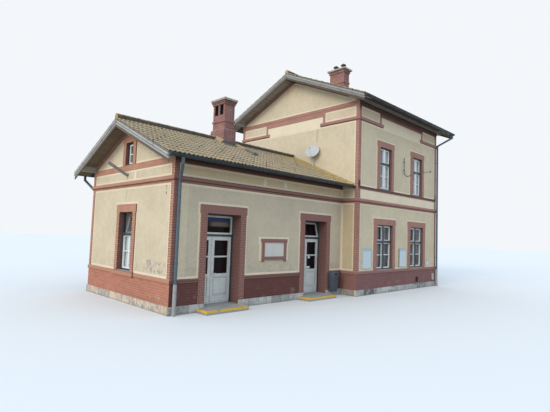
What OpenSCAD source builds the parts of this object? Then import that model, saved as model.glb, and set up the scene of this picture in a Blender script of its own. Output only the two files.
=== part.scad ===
// Railway station building: a single-storey wing with two street doors, and a
// two-storey block across its end, both of plastered brick with painted brick
// dressings, under tiled gable roofs with wide boarded overhangs.
// X runs along the common ridge line (wing at -X, block at +X), the doors face -Y,
// Z is up from the ground. X = 0 is the middle of the footprint, Y = 0 the ridge.

/* [Plan] */
// Length of the single-storey wing, gable face to block
wing_l = 8250; // [7900:10:9400]
// Depth of the wing
wing_d = 6000; // [5700:10:6600]
// Length of the two-storey block
block_l = 7420; // [7200:10:8600]
// How far the block stands out past the wing, front and back
block_out = 800; // [700:10:1000]
// Thickness of the outer walls
wall_t = 500; // [470:10:560]

/* [Heights] */
// Height of the stone base course
base_h = 250; // [200:5:300]
// Height of the brick plinth above the stone
plinth_h = 640; // [560:5:700]
// Height of the moulded plinth cap
cap_h = 140; // [120:5:160]
// Underside of the moulded string course
string_z = 3890; // [3850:10:4000]
// Height of the string course
string_h = 200; // [160:5:220]
// Outer top edge of the wing walls, under the roof boards
wing_wall_top = 4780; // [4740:10:5000]
// Outer top edge of the block walls, under the roof boards
block_wall_top = 8480; // [8440:10:8800]
// Thickness of the floors over the storeys
floor_t = 220; // [180:5:240]
// Top of the ground floors
ground_floor_z = 130; // [110:5:150]
// Top of the upper floor of the block
upper_floor_z = 4000; // [3900:10:4100]
// Top of the attic floor of the wing
attic_floor_z = 4250; // [4150:10:4300]

/* [Brickwork] */
// How far the flat brick bands and strips stand out
band_out = 20; // [15:1:30]
// Height of the brick band under the wing eaves
wing_band_h = 200; // [160:5:220]
// Plain plaster above the wing band
wing_band_gap = 110; // [80:5:140]
// Width of the corner strips on each face
strip_w = 150; // [120:5:180]
// Width of the raking bands under the gable roofs
rake_band = 170; // [140:5:200]
// Underside of the sill band of the block
sill_band_z = 4500; // [4450:10:4520]
// Height of the sill band
sill_band_h = 130; // [110:5:150]
// Plain plaster between the block cornice and the roof boards
cornice_gap = 180; // [150:5:210]
// Height of the block cornice moulding
cornice_h = 170; // [150:5:190]
// Height of the flat band under the cornice, between the corner panels
frieze_h = 210; // [180:5:240]
// From the top of the block walls down to the moulding below the corner panels
panel_drop = 1030; // [1010:5:1080]
// Height of the moulding below the corner panels
panel_rail_h = 170; // [140:5:190]
// Width of the corner panels on the front and back
panel_front_w = 1630; // [1500:10:1750]
// Width of the corner panels on the side and end
panel_side_w = 1850; // [1700:10:1950]
// Width of the upright at the inner end of a corner panel
panel_leg_w = 120; // [100:5:140]
// How far the panel moulding runs on past its upright
panel_tail = 130; // [100:5:160]
// How far the window and door surrounds stand out
surround_out = 40; // [30:1:45]
// Width of the brick jambs beside doors and ground windows
jamb_w = 235; // [200:5:245]
// Width of the brick jambs beside upper windows
upper_jamb_w = 205; // [180:5:220]
// Height of the lintels
lintel_h = 265; // [230:5:290]
// How far a lintel reaches past its jambs on each side
lintel_ear = 30; // [20:1:45]

/* [Doors] */
// Width of a door opening
door_w = 1360; // [1300:10:1450]
// Height of the door and ground window heads
head_z = 3040; // [2980:10:3100]
// Centre of the first door from the gable face
door_1_x = 1890; // [1800:10:2000]
// Centre of the second door from the block
door_2_x = 1740; // [1650:10:1850]
// Depth from the wall face to the door leaves
door_reveal = 390; // [360:5:400]
// Thickness of a door leaf
leaf_t = 45; // [40:1:50]
// Top of the door leaves
leaf_top = 2310; // [2250:10:2350]
// Width of the door frame posts
post_w = 50; // [45:1:60]
// Height of the transom bar above the leaves
transom_h = 70; // [60:5:90]
// Width of the wide leaf
wide_leaf_w = 792; // [770:1:810]
// Gap beside the leaves at the posts
hinge_gap = 7; // [6:0.5:8]
// Gap between the two leaves where they meet
meeting_gap = 12; // [11:0.5:14]
// Gap under the leaves
sill_gap = 10; // [8:1:12]
// Width of the leaf stiles and rails
stile_w = 110; // [95:5:120]
// Radius of a hinge knuckle
knuckle_r = 10; // [9:0.5:12]
// Radius of a hinge pin
pin_r = 5; // [4:0.5:6]
// Height of one hinge knuckle
knuckle_h = 45; // [40:5:60]
// Width of a doorstep
step_w = 1640; // [1500:10:1800]
// How far a doorstep stands out from the wall
step_d = 600; // [500:10:700]
// Height of a doorstep
step_h = 120; // [100:5:125]
// How far the steps lie left of the door centres
step_shift = 145; // [0:10:150]
// Half width of the blind panel between the doors
blind_w = 655; // [600:5:700]
// Underside of the blind panel
blind_z = 1460; // [1420:10:1500]
// Top of the blind panel
blind_top = 2280; // [2200:10:2350]
// Height of the blind panel's head
blind_head_h = 130; // [110:5:150]
// How far the blind panel's head stands out past its sides
blind_ear = 40; // [30:5:50]
// Width of the blind panel's sides and foot rail
blind_rail = 120; // [100:5:140]

/* [Windows] */
// Width of the ground windows of the block
big_window_w = 1350; // [1250:10:1400]
// Width of the wing and upper windows
window_w = 1000; // [950:10:1050]
// Height of the upper windows
upper_window_h = 1940; // [1850:10:2000]
// Distance of the front window centres from the block's middle, as a share of its length
window_share = 0.2069; // [0.2:0.0001:0.215]
// Distance of the end window centres from the ridge line, as a share of the block's depth
end_window_share = 0.202; // [0.195:0.0005:0.21]
// Width of the attic window
attic_window_w = 550; // [500:10:600]
// Height of the attic window
attic_window_h = 790; // [700:10:800]
// Depth from the wall face to the dark window frame
window_reveal = 65; // [50:1:80]
// Depth from the wall face to the frame of the gable window
gable_reveal = 120; // [100:1:140]
// How far the brick sill of the gable window stands out
gable_sill_out = 90; // [70:5:110]
// How far that sill reaches past the opening on each side
gable_sill_ear = 290; // [250:5:320]
// Share of a window's height below its transom
transom_share = 0.62; // [0.55:0.01:0.7]
// Depth of the dark frame
frame_d = 70; // [60:1:80]
// Width of the frame border
border_w = 50; // [45:1:60]
// Width of mullion and transom
mullion_w = 80; // [70:1:100]
// Width of the sash bars
sash_w = 55; // [45:1:60]
// Depth of the sashes
sash_d = 45; // [40:1:50]
// Thickness of a pane
pane_t = 6; // [5:0.5:8]
// Tilt of the opened top lights
light_tilt = 14; // [10:1:16]

/* [Roofs] */
// Slope of both roofs in degrees
pitch = 23.5; // [22.5:0.1:24.5]
// Thickness of the boards and rafters
deck_t = 80; // [70:1:90]
// Thickness of the tile layer on its battens
tile_t = 65; // [55:1:75]
// Width that one roof tile covers
tile_cover = 304; // [290:1:330]
// Height of the rolls of the tiles
roll_h = 28; // [20:1:32]
// Width of a roll
roll_w = 50; // [40:5:60]
// How far the tiles run past the boards at the eaves
tile_out = 40; // [30:5:60]
// Eaves overhang of the wing
wing_eave = 570; // [530:10:620]
// Verge overhang of the wing
wing_verge = 550; // [500:10:620]
// Eaves overhang of the block
block_eave = 640; // [600:10:700]
// Verge overhang of the block over the wing
block_verge = 610; // [560:10:680]
// Verge overhang of the block at the far end
end_verge = 640; // [560:10:700]
// Radius of the ridge tiles
ridge_r = 115; // [100:1:130]
// Depth of the bargeboards
barge_h = 250; // [230:5:280]
// Thickness of a bargeboard
barge_t = 30; // [25:1:35]
// Width of the purlins
purlin_w = 140; // [120:5:160]
// Height of the purlins
purlin_h = 160; // [140:5:180]
// Radius of the gutters
gutter_r = 75; // [65:1:80]
// Radius of the downpipes
pipe_r = 48; // [40:1:52]

/* [Chimneys] */
// Centre of the wing chimney from the gable face
wing_stack_at = 3950; // [3800:10:4100]
// Centre of the block chimney from the wing
block_stack_at = 3585; // [3450:10:3700]
// Length of the wing stack along the ridge
wing_stack_x = 500; // [460:10:540]
// Depth of the wing stack across the ridge
wing_stack_y = 780; // [740:10:820]
// Length of the block stack along the ridge
block_stack_x = 480; // [450:10:520]
// Depth of the block stack across the ridge
block_stack_y = 950; // [900:10:1000]
// How far the foot of the wing stack stands out
foot_out = 60; // [40:5:80]
// Top of the wing chimney above the ridge of the wall
wing_stack_rise = 1860; // [1750:10:1950]
// Top of the block chimney above the ridge of the wall
block_stack_rise = 1540; // [1450:10:1650]
// Height of the chimney cap slabs
cap_slab_h = 80; // [70:5:110]
// Overhang of the cap slab of the block chimney
cap_out = 120; // [90:5:140]
// Height of the flue slots under the wing chimney cap
slot_h = 390; // [360:10:420]
// Width of a flue slot
slot_w = 170; // [150:5:190]

/* [Fixtures] */
// Radius of the satellite dish
dish_r = 345; // [320:5:370]
// Length of the luminaire on the gable
lamp_l = 780; // [700:10:850]
// Reach of the aerial arm from the wall
arm_l = 1370; // [1250:10:1450]
// Width of the litter bin
bin_w = 470; // [420:10:500]
// Distance of the litter bin's middle from the block
bin_x = 710; // [690:10:730]
// Width of the two notice cases
board_w = 650; // [600:10:700]
// Underside of the notice cases
board_z = 1120; // [1080:10:1160]
// Height of the notice cases
board_h = 850; // [800:10:900]
// Width of the small notice case
small_board_w = 300; // [270:10:330]
// Height of the small notice case
small_board_h = 240; // [220:10:260]
// Thickness of the notice cases
board_t = 30; // [25:1:40]
// Gap between a notice case and the next window surround
board_gap = 175; // [150:5:200]

/* [Hidden] */
$fn = 32;
// Finishes
plaster_c = "wheat";
brick_c = "indianred";
stone_c = "lightgray";
timber_c = "darkgray";
tile_c = "tan";
sheet_c = "darkslategray";
white_c = "whitesmoke";
glass_c = "slategray";
// Footprint
x_gable = -(wing_l + block_l) / 2;
x_step = x_gable + wing_l;
x_end = x_step + block_l;
y_wing = wing_d / 2;
y_block = y_wing + block_out;
x_block = (x_step + x_end) / 2;
doors = [x_gable + door_1_x, x_step - door_2_x];
// Levels
plinth_top = base_h + plinth_h;
sill_z = plinth_top + cap_h;
upper_sill_z = sill_band_z + sill_band_h;
wing_band_z = wing_wall_top - wing_band_gap - wing_band_h;
attic_sill_z = wing_band_z + wing_band_h;
cornice_z = block_wall_top - cornice_gap - cornice_h;
panel_z = block_wall_top - panel_drop;
ground_window_h = head_z - sill_z;
slope = tan(pitch);
deck_rise = deck_t / cos(pitch);
tile_rise = tile_t / cos(pitch);
wing_apex = wing_wall_top + y_wing * slope;
block_apex = block_wall_top + y_block * slope;
window_out = block_l * window_share;
end_window_out = 2 * y_block * end_window_share;
x_wing_stack = x_gable + wing_stack_at;
x_block_stack = x_step + block_stack_at;
wing_chimney_top = wing_apex + wing_stack_rise;
block_chimney_top = block_apex + block_stack_rise;
base_out = 45;
reach = 20000;
eps = 1;
// Play between layers that lie on each other on a slope
seat = 0.2;
// Windows: wall position, inward turn, width, height, sill level, opened top light
window_list = [
    [[x_gable, 0], -90, window_w, ground_window_h, sill_z, true],
    [[doors[0], y_wing], 180, window_w, ground_window_h, sill_z, false],
    [[doors[1], y_wing], 180, window_w, ground_window_h, sill_z, false],
    for (s = [-1, 1]) [[x_block + s * window_out, -y_block], 0, big_window_w, ground_window_h, sill_z, false],
    for (s = [-1, 1]) [[x_block + s * window_out, y_block], 180, big_window_w, ground_window_h, sill_z, false],
    for (s = [-1, 1]) [[x_end, s * end_window_out], 90, big_window_w, ground_window_h, sill_z, false],
    for (s = [-1, 1]) [[x_block + s * window_out, -y_block], 0, window_w, upper_window_h, upper_sill_z, false],
    for (s = [-1, 1]) [[x_block + s * window_out, y_block], 180, window_w, upper_window_h, upper_sill_z, false],
    for (s = [-1, 1]) [[x_end, s * end_window_out], 90, window_w, upper_window_h, upper_sill_z, false],
];
attic_window = [[x_gable, 0], -90, attic_window_w, attic_window_h, attic_sill_z, false];

function under(apex, y) = apex - abs(y) * slope;
function reveal_of(w) = w[5] ? gable_reveal : window_reveal;

// Places a child drawn with its wall face on y = 0, inward +Y, at a window
module on_wall(win) {
    translate([win[0][0], win[0][1], win[4]]) rotate([0, 0, win[1]]) children();
}

// Extrudes a [y, z] outline along X from xa to xb
module along_x(xa, xb) {
    translate([xa, 0, 0]) rotate([90, 0, 90]) linear_extrude(height = xb - xa) children();
}

// Extrudes an [x, z] outline along Y from ya to yb
module along_y(ya, yb) {
    translate([0, yb, 0]) rotate([90, 0, 0]) linear_extrude(height = yb - ya) children();
}

module block_box(xa, xb, ya, yb, za, zb) {
    translate([xa, ya, za]) cube([xb - xa, yb - ya, zb - za]);
}

// A block whose four sides follow one profile; profile points are [out, z]
module profiled_block(xa, xb, h, profile) {
    back = [for (i = [len(profile) - 1:-1:0]) profile[i]];
    intersection() {
        along_x(xa - 500, xb + 500)
            polygon(concat([for (p = profile) [h + p[0], p[1]]], [for (p = back) [-h - p[0], p[1]]]));
        along_y(-h - 500, h + 500)
            polygon(concat([for (p = profile) [xb + p[0], p[1]]], [for (p = back) [xa - p[0], p[1]]]));
    }
}

// A moulding with mitred corners round a rectangle
module ring_moulding(xa, xb, h, profile) {
    difference() {
        profiled_block(xa, xb, h, profile);
        block_box(xa, xb, -h, h, profile[0][1] - eps, profile[len(profile) - 1][1] + eps);
    }
}

// The same moulding round the wing, three sides, up to the block
module wing_moulding(profile) {
    intersection() {
        ring_moulding(x_gable, x_step + 1000, y_wing, profile);
        block_box(x_gable - 500, x_step, -y_wing - 500, y_wing + 500, 0, reach);
    }
}

// The same moulding round the block, leaving out what the wing covers
module block_moulding(profile) {
    difference() {
        ring_moulding(x_step, x_end, y_block, profile);
        block_box(x_step - 500, x_step, -y_wing, y_wing, 0, string_z + string_h + 1);
    }
}

function flat_profile(out, z, h) = [[out, z], [out, z + h]];

// An L-shaped strip round one outer corner; sx and sy point outward
module corner_strip(x, y, sx, sy, z0, z1, w = strip_w, out = band_out) {
    translate([x, y, z0]) difference() {
        translate([sx > 0 ? -w : -out, sy > 0 ? -w : -out, 0]) cube([w + out, w + out, z1 - z0]);
        translate([sx > 0 ? -w - eps : 0, sy > 0 ? -w - eps : 0, -eps])
            cube([w + eps, w + eps, z1 - z0 + 2 * eps]);
    }
}

module window_holes(x_range, y_range) {
    for (w = concat(window_list, [attic_window]))
        if (w[0][0] >= x_range[0] && w[0][0] <= x_range[1] && w[0][1] >= y_range[0] && w[0][1] <= y_range[1])
            on_wall(w) translate([-w[2] / 2, -eps, 0]) cube([w[2], wall_t + 2 * eps, w[3]]);
}

// Timbers that run through the walls, bevelled to the roof slope. Their notches
// in the walls are the same shapes, open at the top by notch_h
notch_h = 50;

module ridge_purlin(xa, xb, apex, more) {
    side = purlin_w / 2;
    low = under(apex, side) - purlin_h;
    top = under(apex, side) + more;
    along_x(xa, xb) polygon([[-side, low], [side, low], [side, top], [0, apex + more], [-side, top]]);
}

module eaves_purlin(xa, xb, h, apex, side, more) {
    low = under(apex, h) - purlin_h;
    along_x(xa, xb) polygon([
        [side * (h - purlin_w), low], [side * h, low], [side * h, under(apex, h) + more],
        [side * (h - purlin_w), under(apex, h - purlin_w) + more],
    ]);
}

module wing_purlins(more = 0) {
    xa = x_gable - wing_verge;
    ridge_purlin(xa, x_step, wing_apex, more);
    for (s = [-1, 1]) eaves_purlin(xa, x_step, y_wing, wing_apex, s, more);
}

module block_purlins(more = 0) {
    xa = x_step - block_verge;
    xb = x_end + end_verge;
    ridge_purlin(xa, xb, block_apex, more);
    for (s = [-1, 1]) eaves_purlin(xa, xb, y_block, block_apex, s, more);
}

// Chimney stacks where they pass floors and roofs
module wing_stack_core() {
    half = wing_stack_x / 2 + foot_out;
    side = wing_stack_y / 2 + foot_out;
    block_box(x_wing_stack - half, x_wing_stack + half, -side, side, ground_floor_z, reach);
}

module block_stack_core() {
    half = block_stack_x / 2;
    block_box(x_block_stack - half, x_block_stack + half, -block_stack_y / 2, block_stack_y / 2,
        ground_floor_z, reach);
}

// Floors
module wing_floor() {
    color(stone_c) union() {
        block_box(x_gable + wall_t, x_step, -y_wing + wall_t, y_wing - wall_t, 0, ground_floor_z);
        for (x = doors) block_box(x - door_w / 2, x + door_w / 2, -y_wing, -y_wing + wall_t + eps, 0, ground_floor_z);
    }
}

module block_floor() {
    color(stone_c)
        block_box(x_step + wall_t, x_end - wall_t, -y_block + wall_t, y_block - wall_t, 0, ground_floor_z);
}

module upper_floor() {
    color(stone_c) difference() {
        block_box(x_step + wall_t, x_end - wall_t, -y_block + wall_t, y_block - wall_t,
            upper_floor_z - floor_t, upper_floor_z);
        block_stack_core();
    }
}

module attic_floor() {
    color(stone_c) difference() {
        block_box(x_gable + wall_t, x_step, -y_wing + wall_t, y_wing - wall_t,
            attic_floor_z - floor_t, attic_floor_z);
        wing_stack_core();
    }
}

// Stone base: straight runs of one course under the outer walls, open at the
// doors, with a thin joint where two runs meet
base_joint = 0.5;

module base_run(xa, xb, ya, yb) {
    block_box(xa, xb, ya, yb, 0, base_h);
}

module stone_base() {
    side = y_block + base_out;
    wing_side = y_wing + base_out;
    door = door_w / 2;
    inner_wing = y_wing - wall_t;
    inner_block = y_block - wall_t;
    color(stone_c) {
        base_run(x_gable - base_out, x_gable + wall_t, -wing_side, wing_side);
        base_run(x_gable + wall_t + base_joint, doors[0] - door, -wing_side, -inner_wing);
        base_run(doors[0] + door, doors[1] - door, -wing_side, -inner_wing);
        base_run(doors[1] + door, x_step - base_joint, -wing_side, -inner_wing);
        base_run(x_gable + wall_t + base_joint, x_step - base_joint, inner_wing, wing_side);
        base_run(x_step - base_out, x_step - base_joint, -side, -wing_side - base_joint);
        base_run(x_step - base_out, x_step - base_joint, wing_side + base_joint, side);
        base_run(x_step, x_step + wall_t, -side, side);
        base_run(x_end - wall_t, x_end + base_out, -side, side);
        for (s = [-1, 1])
            base_run(x_step + wall_t + base_joint, x_end - wall_t - base_joint, s < 0 ? -side : inner_block,
                s < 0 ? -inner_block : side);
    }
}

// Walls of the wing
module wing_front_pier(xa, xb) {
    block_box(xa, xb, -y_wing, -y_wing + wall_t, base_h, head_z);
}

module wing_front_wall_left() {
    color(plaster_c) wing_front_pier(x_gable + wall_t, doors[0] - door_w / 2);
}

module wing_front_wall_middle() {
    color(plaster_c) wing_front_pier(doors[0] + door_w / 2, doors[1] - door_w / 2);
}

module wing_front_wall_right() {
    color(plaster_c) wing_front_pier(doors[1] + door_w / 2, x_step);
}

module eaves_wall(xa, xb, h, z0, apex, side) {
    along_x(xa, xb) polygon([
        [side * h, z0], [side * (h - wall_t), z0],
        [side * (h - wall_t), under(apex, h - wall_t)], [side * h, under(apex, h)],
    ]);
}

module wing_front_wall_head() {
    color(plaster_c) difference() {
        eaves_wall(x_gable + wall_t, x_step, y_wing, head_z, wing_apex, -1);
        wing_purlins(notch_h);
    }
}

module wing_back_wall() {
    color(plaster_c) difference() {
        eaves_wall(x_gable + wall_t, x_step, y_wing, base_h, wing_apex, 1);
        wing_purlins(notch_h);
        window_holes([x_gable + wall_t, x_step], [y_wing - 1, y_wing + 1]);
    }
}

module gable_shape(h, apex) {
    polygon([[-h, base_h], [h, base_h], [h, under(apex, h)], [0, apex], [-h, under(apex, h)]]);
}

module wing_gable_wall() {
    color(plaster_c) difference() {
        along_x(x_gable, x_gable + wall_t) gable_shape(y_wing, wing_apex);
        wing_purlins(notch_h);
        window_holes([x_gable - 1, x_gable + 1], [-y_wing, y_wing]);
    }
}

// Walls of the block
module block_side_wall() {
    color(plaster_c) difference() {
        along_x(x_step, x_step + wall_t) gable_shape(y_block, block_apex);
        block_purlins(notch_h);
    }
}

module block_end_wall() {
    color(plaster_c) difference() {
        along_x(x_end - wall_t, x_end) gable_shape(y_block, block_apex);
        block_purlins(notch_h);
        window_holes([x_end - 1, x_end + 1], [-y_block, y_block]);
    }
}

module block_long_wall(side) {
    difference() {
        eaves_wall(x_step + wall_t, x_end - wall_t, y_block, base_h, block_apex, side);
        block_purlins(notch_h);
        window_holes([x_step, x_end - 2], [side * y_block - 1, side * y_block + 1]);
    }
}

module block_front_wall() {
    color(plaster_c) block_long_wall(-1);
}

module block_back_wall() {
    color(plaster_c) block_long_wall(1);
}

// Brick dressings
plinth_profile = [
    [band_out, base_h], [band_out, plinth_top], [band_out + 10, plinth_top], [band_out + 30, plinth_top + cap_h * 0.2],
    [band_out + 30, plinth_top + cap_h * 0.75], [band_out, sill_z],
];

module brick_plinth() {
    sill_w = window_w / 2 + gable_sill_ear;
    color(brick_c) difference() {
        union() {
            wing_moulding(plinth_profile);
            block_moulding(plinth_profile);
            block_box(x_gable - gable_sill_out, x_gable, -sill_w, sill_w, plinth_top, sill_z);
        }
        for (x = doors)
            block_box(x - door_w / 2 - jamb_w, x + door_w / 2 + jamb_w, -y_wing - 400, -y_wing + 10, base_h - eps, sill_z + eps);
    }
}

string_profile = [
    [0, string_z], [band_out, string_z], [band_out + 10, string_z + string_h * 0.2],
    [band_out + 45, string_z + string_h * 0.3], [band_out + 45, string_z + string_h * 0.85],
    [band_out + 20, string_z + string_h], [0, string_z + string_h],
];

module string_course() {
    color(brick_c) union() {
        wing_moulding(string_profile);
        block_moulding(string_profile);
    }
}

// A raking band under a gable roof, on the outer face of a wall at x, facing -X or +X
module raking_band(x, dir, h, apex, low) {
    drop = rake_band / cos(pitch);
    run = (apex - drop - low) / slope;
    intersection() {
        along_x(dir < 0 ? x - band_out : x, dir < 0 ? x : x + band_out) polygon([
            [-h - band_out, under(apex, h + band_out)], [0, apex], [h + band_out, under(apex, h + band_out)],
            [h + band_out, under(apex, h + band_out) - drop], [0, apex - drop],
            [-h - band_out, under(apex, h + band_out) - drop],
        ]);
        block_box(x - 100, x + 100, -h, h, low, apex + 10);
    }
}

module wing_brick_bands() {
    color(brick_c) union() {
        for (s = [-1, 1]) {
            corner_strip(x_gable, s * y_wing, -1, s, sill_z, string_z);
            corner_strip(x_gable, s * y_wing, -1, s, string_z + string_h, wing_band_z);
        }
        difference() {
            wing_moulding(flat_profile(band_out, wing_band_z, wing_band_h));
            wing_purlins(notch_h);
        }
        difference() {
            raking_band(x_gable, -1, y_wing, wing_apex, wing_band_z + wing_band_h);
            wing_purlins(notch_h);
            wing_attic_opening();
        }
    }
}

// The raking band stops against the surround of the attic window
module wing_attic_opening() {
    on_wall(attic_window) translate([0, -100, 0]) linear_extrude(height = attic_window_h + lintel_h)
        translate([-attic_window_w / 2 - upper_jamb_w - lintel_ear, 0])
            square([attic_window_w + 2 * upper_jamb_w + 2 * lintel_ear, 200]);
}

module block_brick_bands() {
    roof_end = wing_eave + tile_out + 10;
    color(brick_c) union() {
        for (s = [-1, 1]) {
            for (c = [[x_step, -1], [x_end, 1]]) {
                corner_strip(c[0], s * y_block, c[1], s, sill_z, string_z);
                corner_strip(c[0], s * y_block, c[1], s, string_z + string_h, sill_band_z);
                corner_strip(c[0], s * y_block, c[1], s, sill_band_z + sill_band_h, panel_z);
            }
        }
        difference() {
            union() {
                raking_band(x_step, -1, y_block, block_apex, cornice_z + cornice_h);
                raking_band(x_end, 1, y_block, block_apex, cornice_z + cornice_h);
            }
            block_purlins(notch_h);
        }
        difference() {
            ring_moulding(x_step, x_end, y_block, flat_profile(band_out, sill_band_z, sill_band_h));
            block_box(x_step - 500, x_step, -y_wing - roof_end, y_wing + roof_end, 0, reach);
        }
    }
}

cornice_profile = [
    [0, cornice_z - 50], [band_out, cornice_z - 50], [band_out, cornice_z], [band_out + 25, cornice_z + cornice_h * 0.3],
    [band_out + 25, cornice_z + cornice_h * 0.8], [band_out + 10, cornice_z + cornice_h], [0, cornice_z + cornice_h],
];

module block_cornice() {
    z0 = cornice_z - frieze_h;
    color(brick_c) union() {
        ring_moulding(x_step, x_end, y_block, cornice_profile);
        for (s = [-1, 1])
            block_box(x_step + panel_front_w + panel_leg_w, x_end - panel_front_w - panel_leg_w,
                s < 0 ? -y_block - band_out : y_block, s < 0 ? -y_block : y_block + band_out, z0, cornice_z - 50 + eps);
        for (x = [x_step - band_out, x_end])
            block_box(x, x + band_out, -y_block + panel_side_w + panel_leg_w, y_block - panel_side_w - panel_leg_w,
                z0, cornice_z - 50 + eps);
    }
}

panel_profile = [
    [0, panel_z], [band_out, panel_z], [band_out + 45, panel_z + panel_rail_h * 0.35],
    [band_out + 45, panel_z + panel_rail_h * 0.85], [band_out, panel_z + panel_rail_h], [0, panel_z + panel_rail_h],
];

module corner_panels() {
    fw = panel_front_w + panel_leg_w;
    sw = panel_side_w + panel_leg_w;
    color(brick_c) union() {
        intersection() {
            ring_moulding(x_step, x_end, y_block, panel_profile);
            for (sx = [-1, 1], sy = [-1, 1]) {
                cx = sx < 0 ? x_step - 200 : x_end + 200 - (fw + panel_tail + 200);
                cy = sy < 0 ? -y_block - 200 : y_block + 200 - (sw + panel_tail + 200);
                translate([cx, cy, 0]) cube([fw + panel_tail + 200, sw + panel_tail + 200, reach]);
            }
        }
        for (sy = [-1, 1]) {
            y = sy < 0 ? -y_block - band_out : y_block;
            for (x = [x_step + panel_front_w, x_end - fw])
                block_box(x, x + panel_leg_w, y, y + band_out, panel_z + panel_rail_h, cornice_z - 50);
        }
        for (x = [x_step - band_out, x_end])
            for (y = [-y_block + panel_side_w, y_block - sw])
                block_box(x, x + band_out, y, y + panel_leg_w, panel_z + panel_rail_h, cornice_z - 50);
        for (sx = [-1, 1], sy = [-1, 1])
            corner_strip(sx < 0 ? x_step : x_end, sy * y_block, sx, sy, panel_z + panel_rail_h, cornice_z - 50);
    }
}

// A brick surround: two jambs and a lintel with ears, wall face on y = 0
module surround(w, h, jamb, drop = 0, lintel = lintel_h) {
    translate([-w / 2 - jamb, -surround_out, -drop]) cube([jamb, surround_out, h + drop]);
    translate([w / 2, -surround_out, -drop]) cube([jamb, surround_out, h + drop]);
    translate([-w / 2 - jamb - lintel_ear, -surround_out, h])
        cube([w + 2 * jamb + 2 * lintel_ear, surround_out, lintel]);
}

module door_surrounds() {
    color(brick_c) for (x = doors)
        translate([x, -y_wing, base_h]) surround(door_w, head_z - base_h, jamb_w);
}

module ground_surrounds() {
    color(brick_c) for (w = window_list) if (w[4] == sill_z) on_wall(w) surround(w[2], w[3], w[2] > window_w ? jamb_w : upper_jamb_w);
}

module upper_surrounds() {
    color(brick_c) {
        for (w = window_list) if (w[4] != sill_z) on_wall(w) surround(w[2], w[3], upper_jamb_w);
        on_wall(attic_window) surround(attic_window_w, attic_window_h, upper_jamb_w);
    }
}

// Blind framed panel on the wing front, between the doors
module wall_panel() {
    cx = (doors[0] + doors[1]) / 2;
    side = blind_w - blind_ear;
    inner = side - blind_rail;
    head = blind_top - blind_head_h;
    foot = blind_z + blind_rail * 0.6;
    color(brick_c) translate([cx, -y_wing, 0]) difference() {
        union() {
            block_box(-blind_w, blind_w, -surround_out, 0, head, blind_top);
            block_box(-side, side, -surround_out, 0, blind_z, head + eps);
        }
        block_box(-inner, inner, -surround_out - eps, -band_out / 2, foot + blind_rail, head);
        block_box(-inner, inner, -surround_out - eps, eps, blind_z - eps, foot);
    }
}

// Sills under the windows
sill_t = 20;

module window_sills() {
    color(stone_c) for (w = window_list) on_wall(w)
        translate([-w[2] / 2, -band_out, 0]) cube([w[2], reveal_of(w) + frame_d + band_out, sill_t]);
}

// Roofs: two slopes from one chevron outline
module chevron(h, eave, low_z, t) {
    top = low_z;
    e = h + eave;
    polygon([
        [0, top], [e, top - e * slope], [e, top - e * slope + t], [0, top + t],
        [-e, top - e * slope + t], [-e, top - e * slope],
    ]);
}

module wing_roof_deck() {
    color(timber_c) difference() {
        along_x(x_gable - wing_verge, x_step) chevron(y_wing, wing_eave, wing_apex + seat, deck_rise);
        wing_stack_core();
    }
}

// A coat of tiles with every other pair of rolls, from ridge to eaves
module tile_coat(xa, xb, h, eave, low_z) {
    count = round((xb - xa) / tile_cover);
    cover = (xb - xa) / count;
    along_x(xa, xb) chevron(h, eave, low_z, tile_rise - roll_h / cos(pitch));
    for (i = [0:2:count - 1]) {
        roll_x = xa + i * cover + roll_w * 0.7;
        along_x(roll_x - roll_w / 2, roll_x + roll_w / 2) chevron(h, eave, low_z, tile_rise);
    }
}

module wing_roof_tiles() {
    color(tile_c) difference() {
        tile_coat(x_gable - wing_verge - barge_t, x_step, y_wing, wing_eave + tile_out, wing_apex + deck_rise + 2 * seat);
        wing_stack_core();
    }
}

module block_roof_deck() {
    color(timber_c) difference() {
        along_x(x_step - block_verge, x_end + end_verge) chevron(y_block, block_eave, block_apex + seat, deck_rise);
        block_stack_core();
    }
}

module block_roof_tiles() {
    color(tile_c) difference() {
        tile_coat(x_step - block_verge - barge_t, x_end + end_verge + barge_t, y_block, block_eave + tile_out,
            block_apex + deck_rise + 2 * seat);
        block_stack_core();
    }
}

// Half-round ridge tiles, cut to sit on the two slopes
module ridge_run(xa, xb, top) {
    difference() {
        translate([xa, 0, top - ridge_r * 0.45]) rotate([0, 90, 0]) cylinder(r = ridge_r, h = xb - xa);
        along_x(xa - 1, xb + 1) polygon([[0, top], [2 * ridge_r, top - 2 * ridge_r * slope], [2 * ridge_r, top - 600],
            [-2 * ridge_r, top - 600], [-2 * ridge_r, top - 2 * ridge_r * slope]]);
    }
}

module ridge_tiles() {
    wing_top = wing_apex + deck_rise + tile_rise + 3 * seat;
    block_top = block_apex + deck_rise + tile_rise + 3 * seat;
    wing_half = wing_stack_x / 2 + foot_out;
    block_half = block_stack_x / 2;
    color(tile_c) {
        ridge_run(x_gable - wing_verge - barge_t, x_wing_stack - wing_half, wing_top);
        ridge_run(x_wing_stack + wing_half, x_step, wing_top);
        ridge_run(x_step - block_verge - barge_t, x_block_stack - block_half, block_top);
        ridge_run(x_block_stack + block_half, x_end + end_verge + barge_t, block_top);
    }
}

// Bargeboards: a deep board with a narrower one on its upper half
module barge_pair(x, dir, h, eave, apex) {
    top = apex + deck_rise;
    e = h + eave;
    drop = barge_h / cos(pitch);
    xa = dir < 0 ? x - barge_t : x;
    along_x(xa, xa + barge_t) polygon([
        [0, top], [e, top - e * slope], [e, top - e * slope - drop], [0, top - drop],
        [-e, top - e * slope - drop], [-e, top - e * slope],
    ]);
    xb = dir < 0 ? x - 2 * barge_t : x + barge_t;
    along_x(xb, xb + barge_t) polygon([
        [0, top], [e, top - e * slope], [e, top - e * slope - drop * 0.5], [0, top - drop * 0.5],
        [-e, top - e * slope - drop * 0.5], [-e, top - e * slope],
    ]);
}

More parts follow.
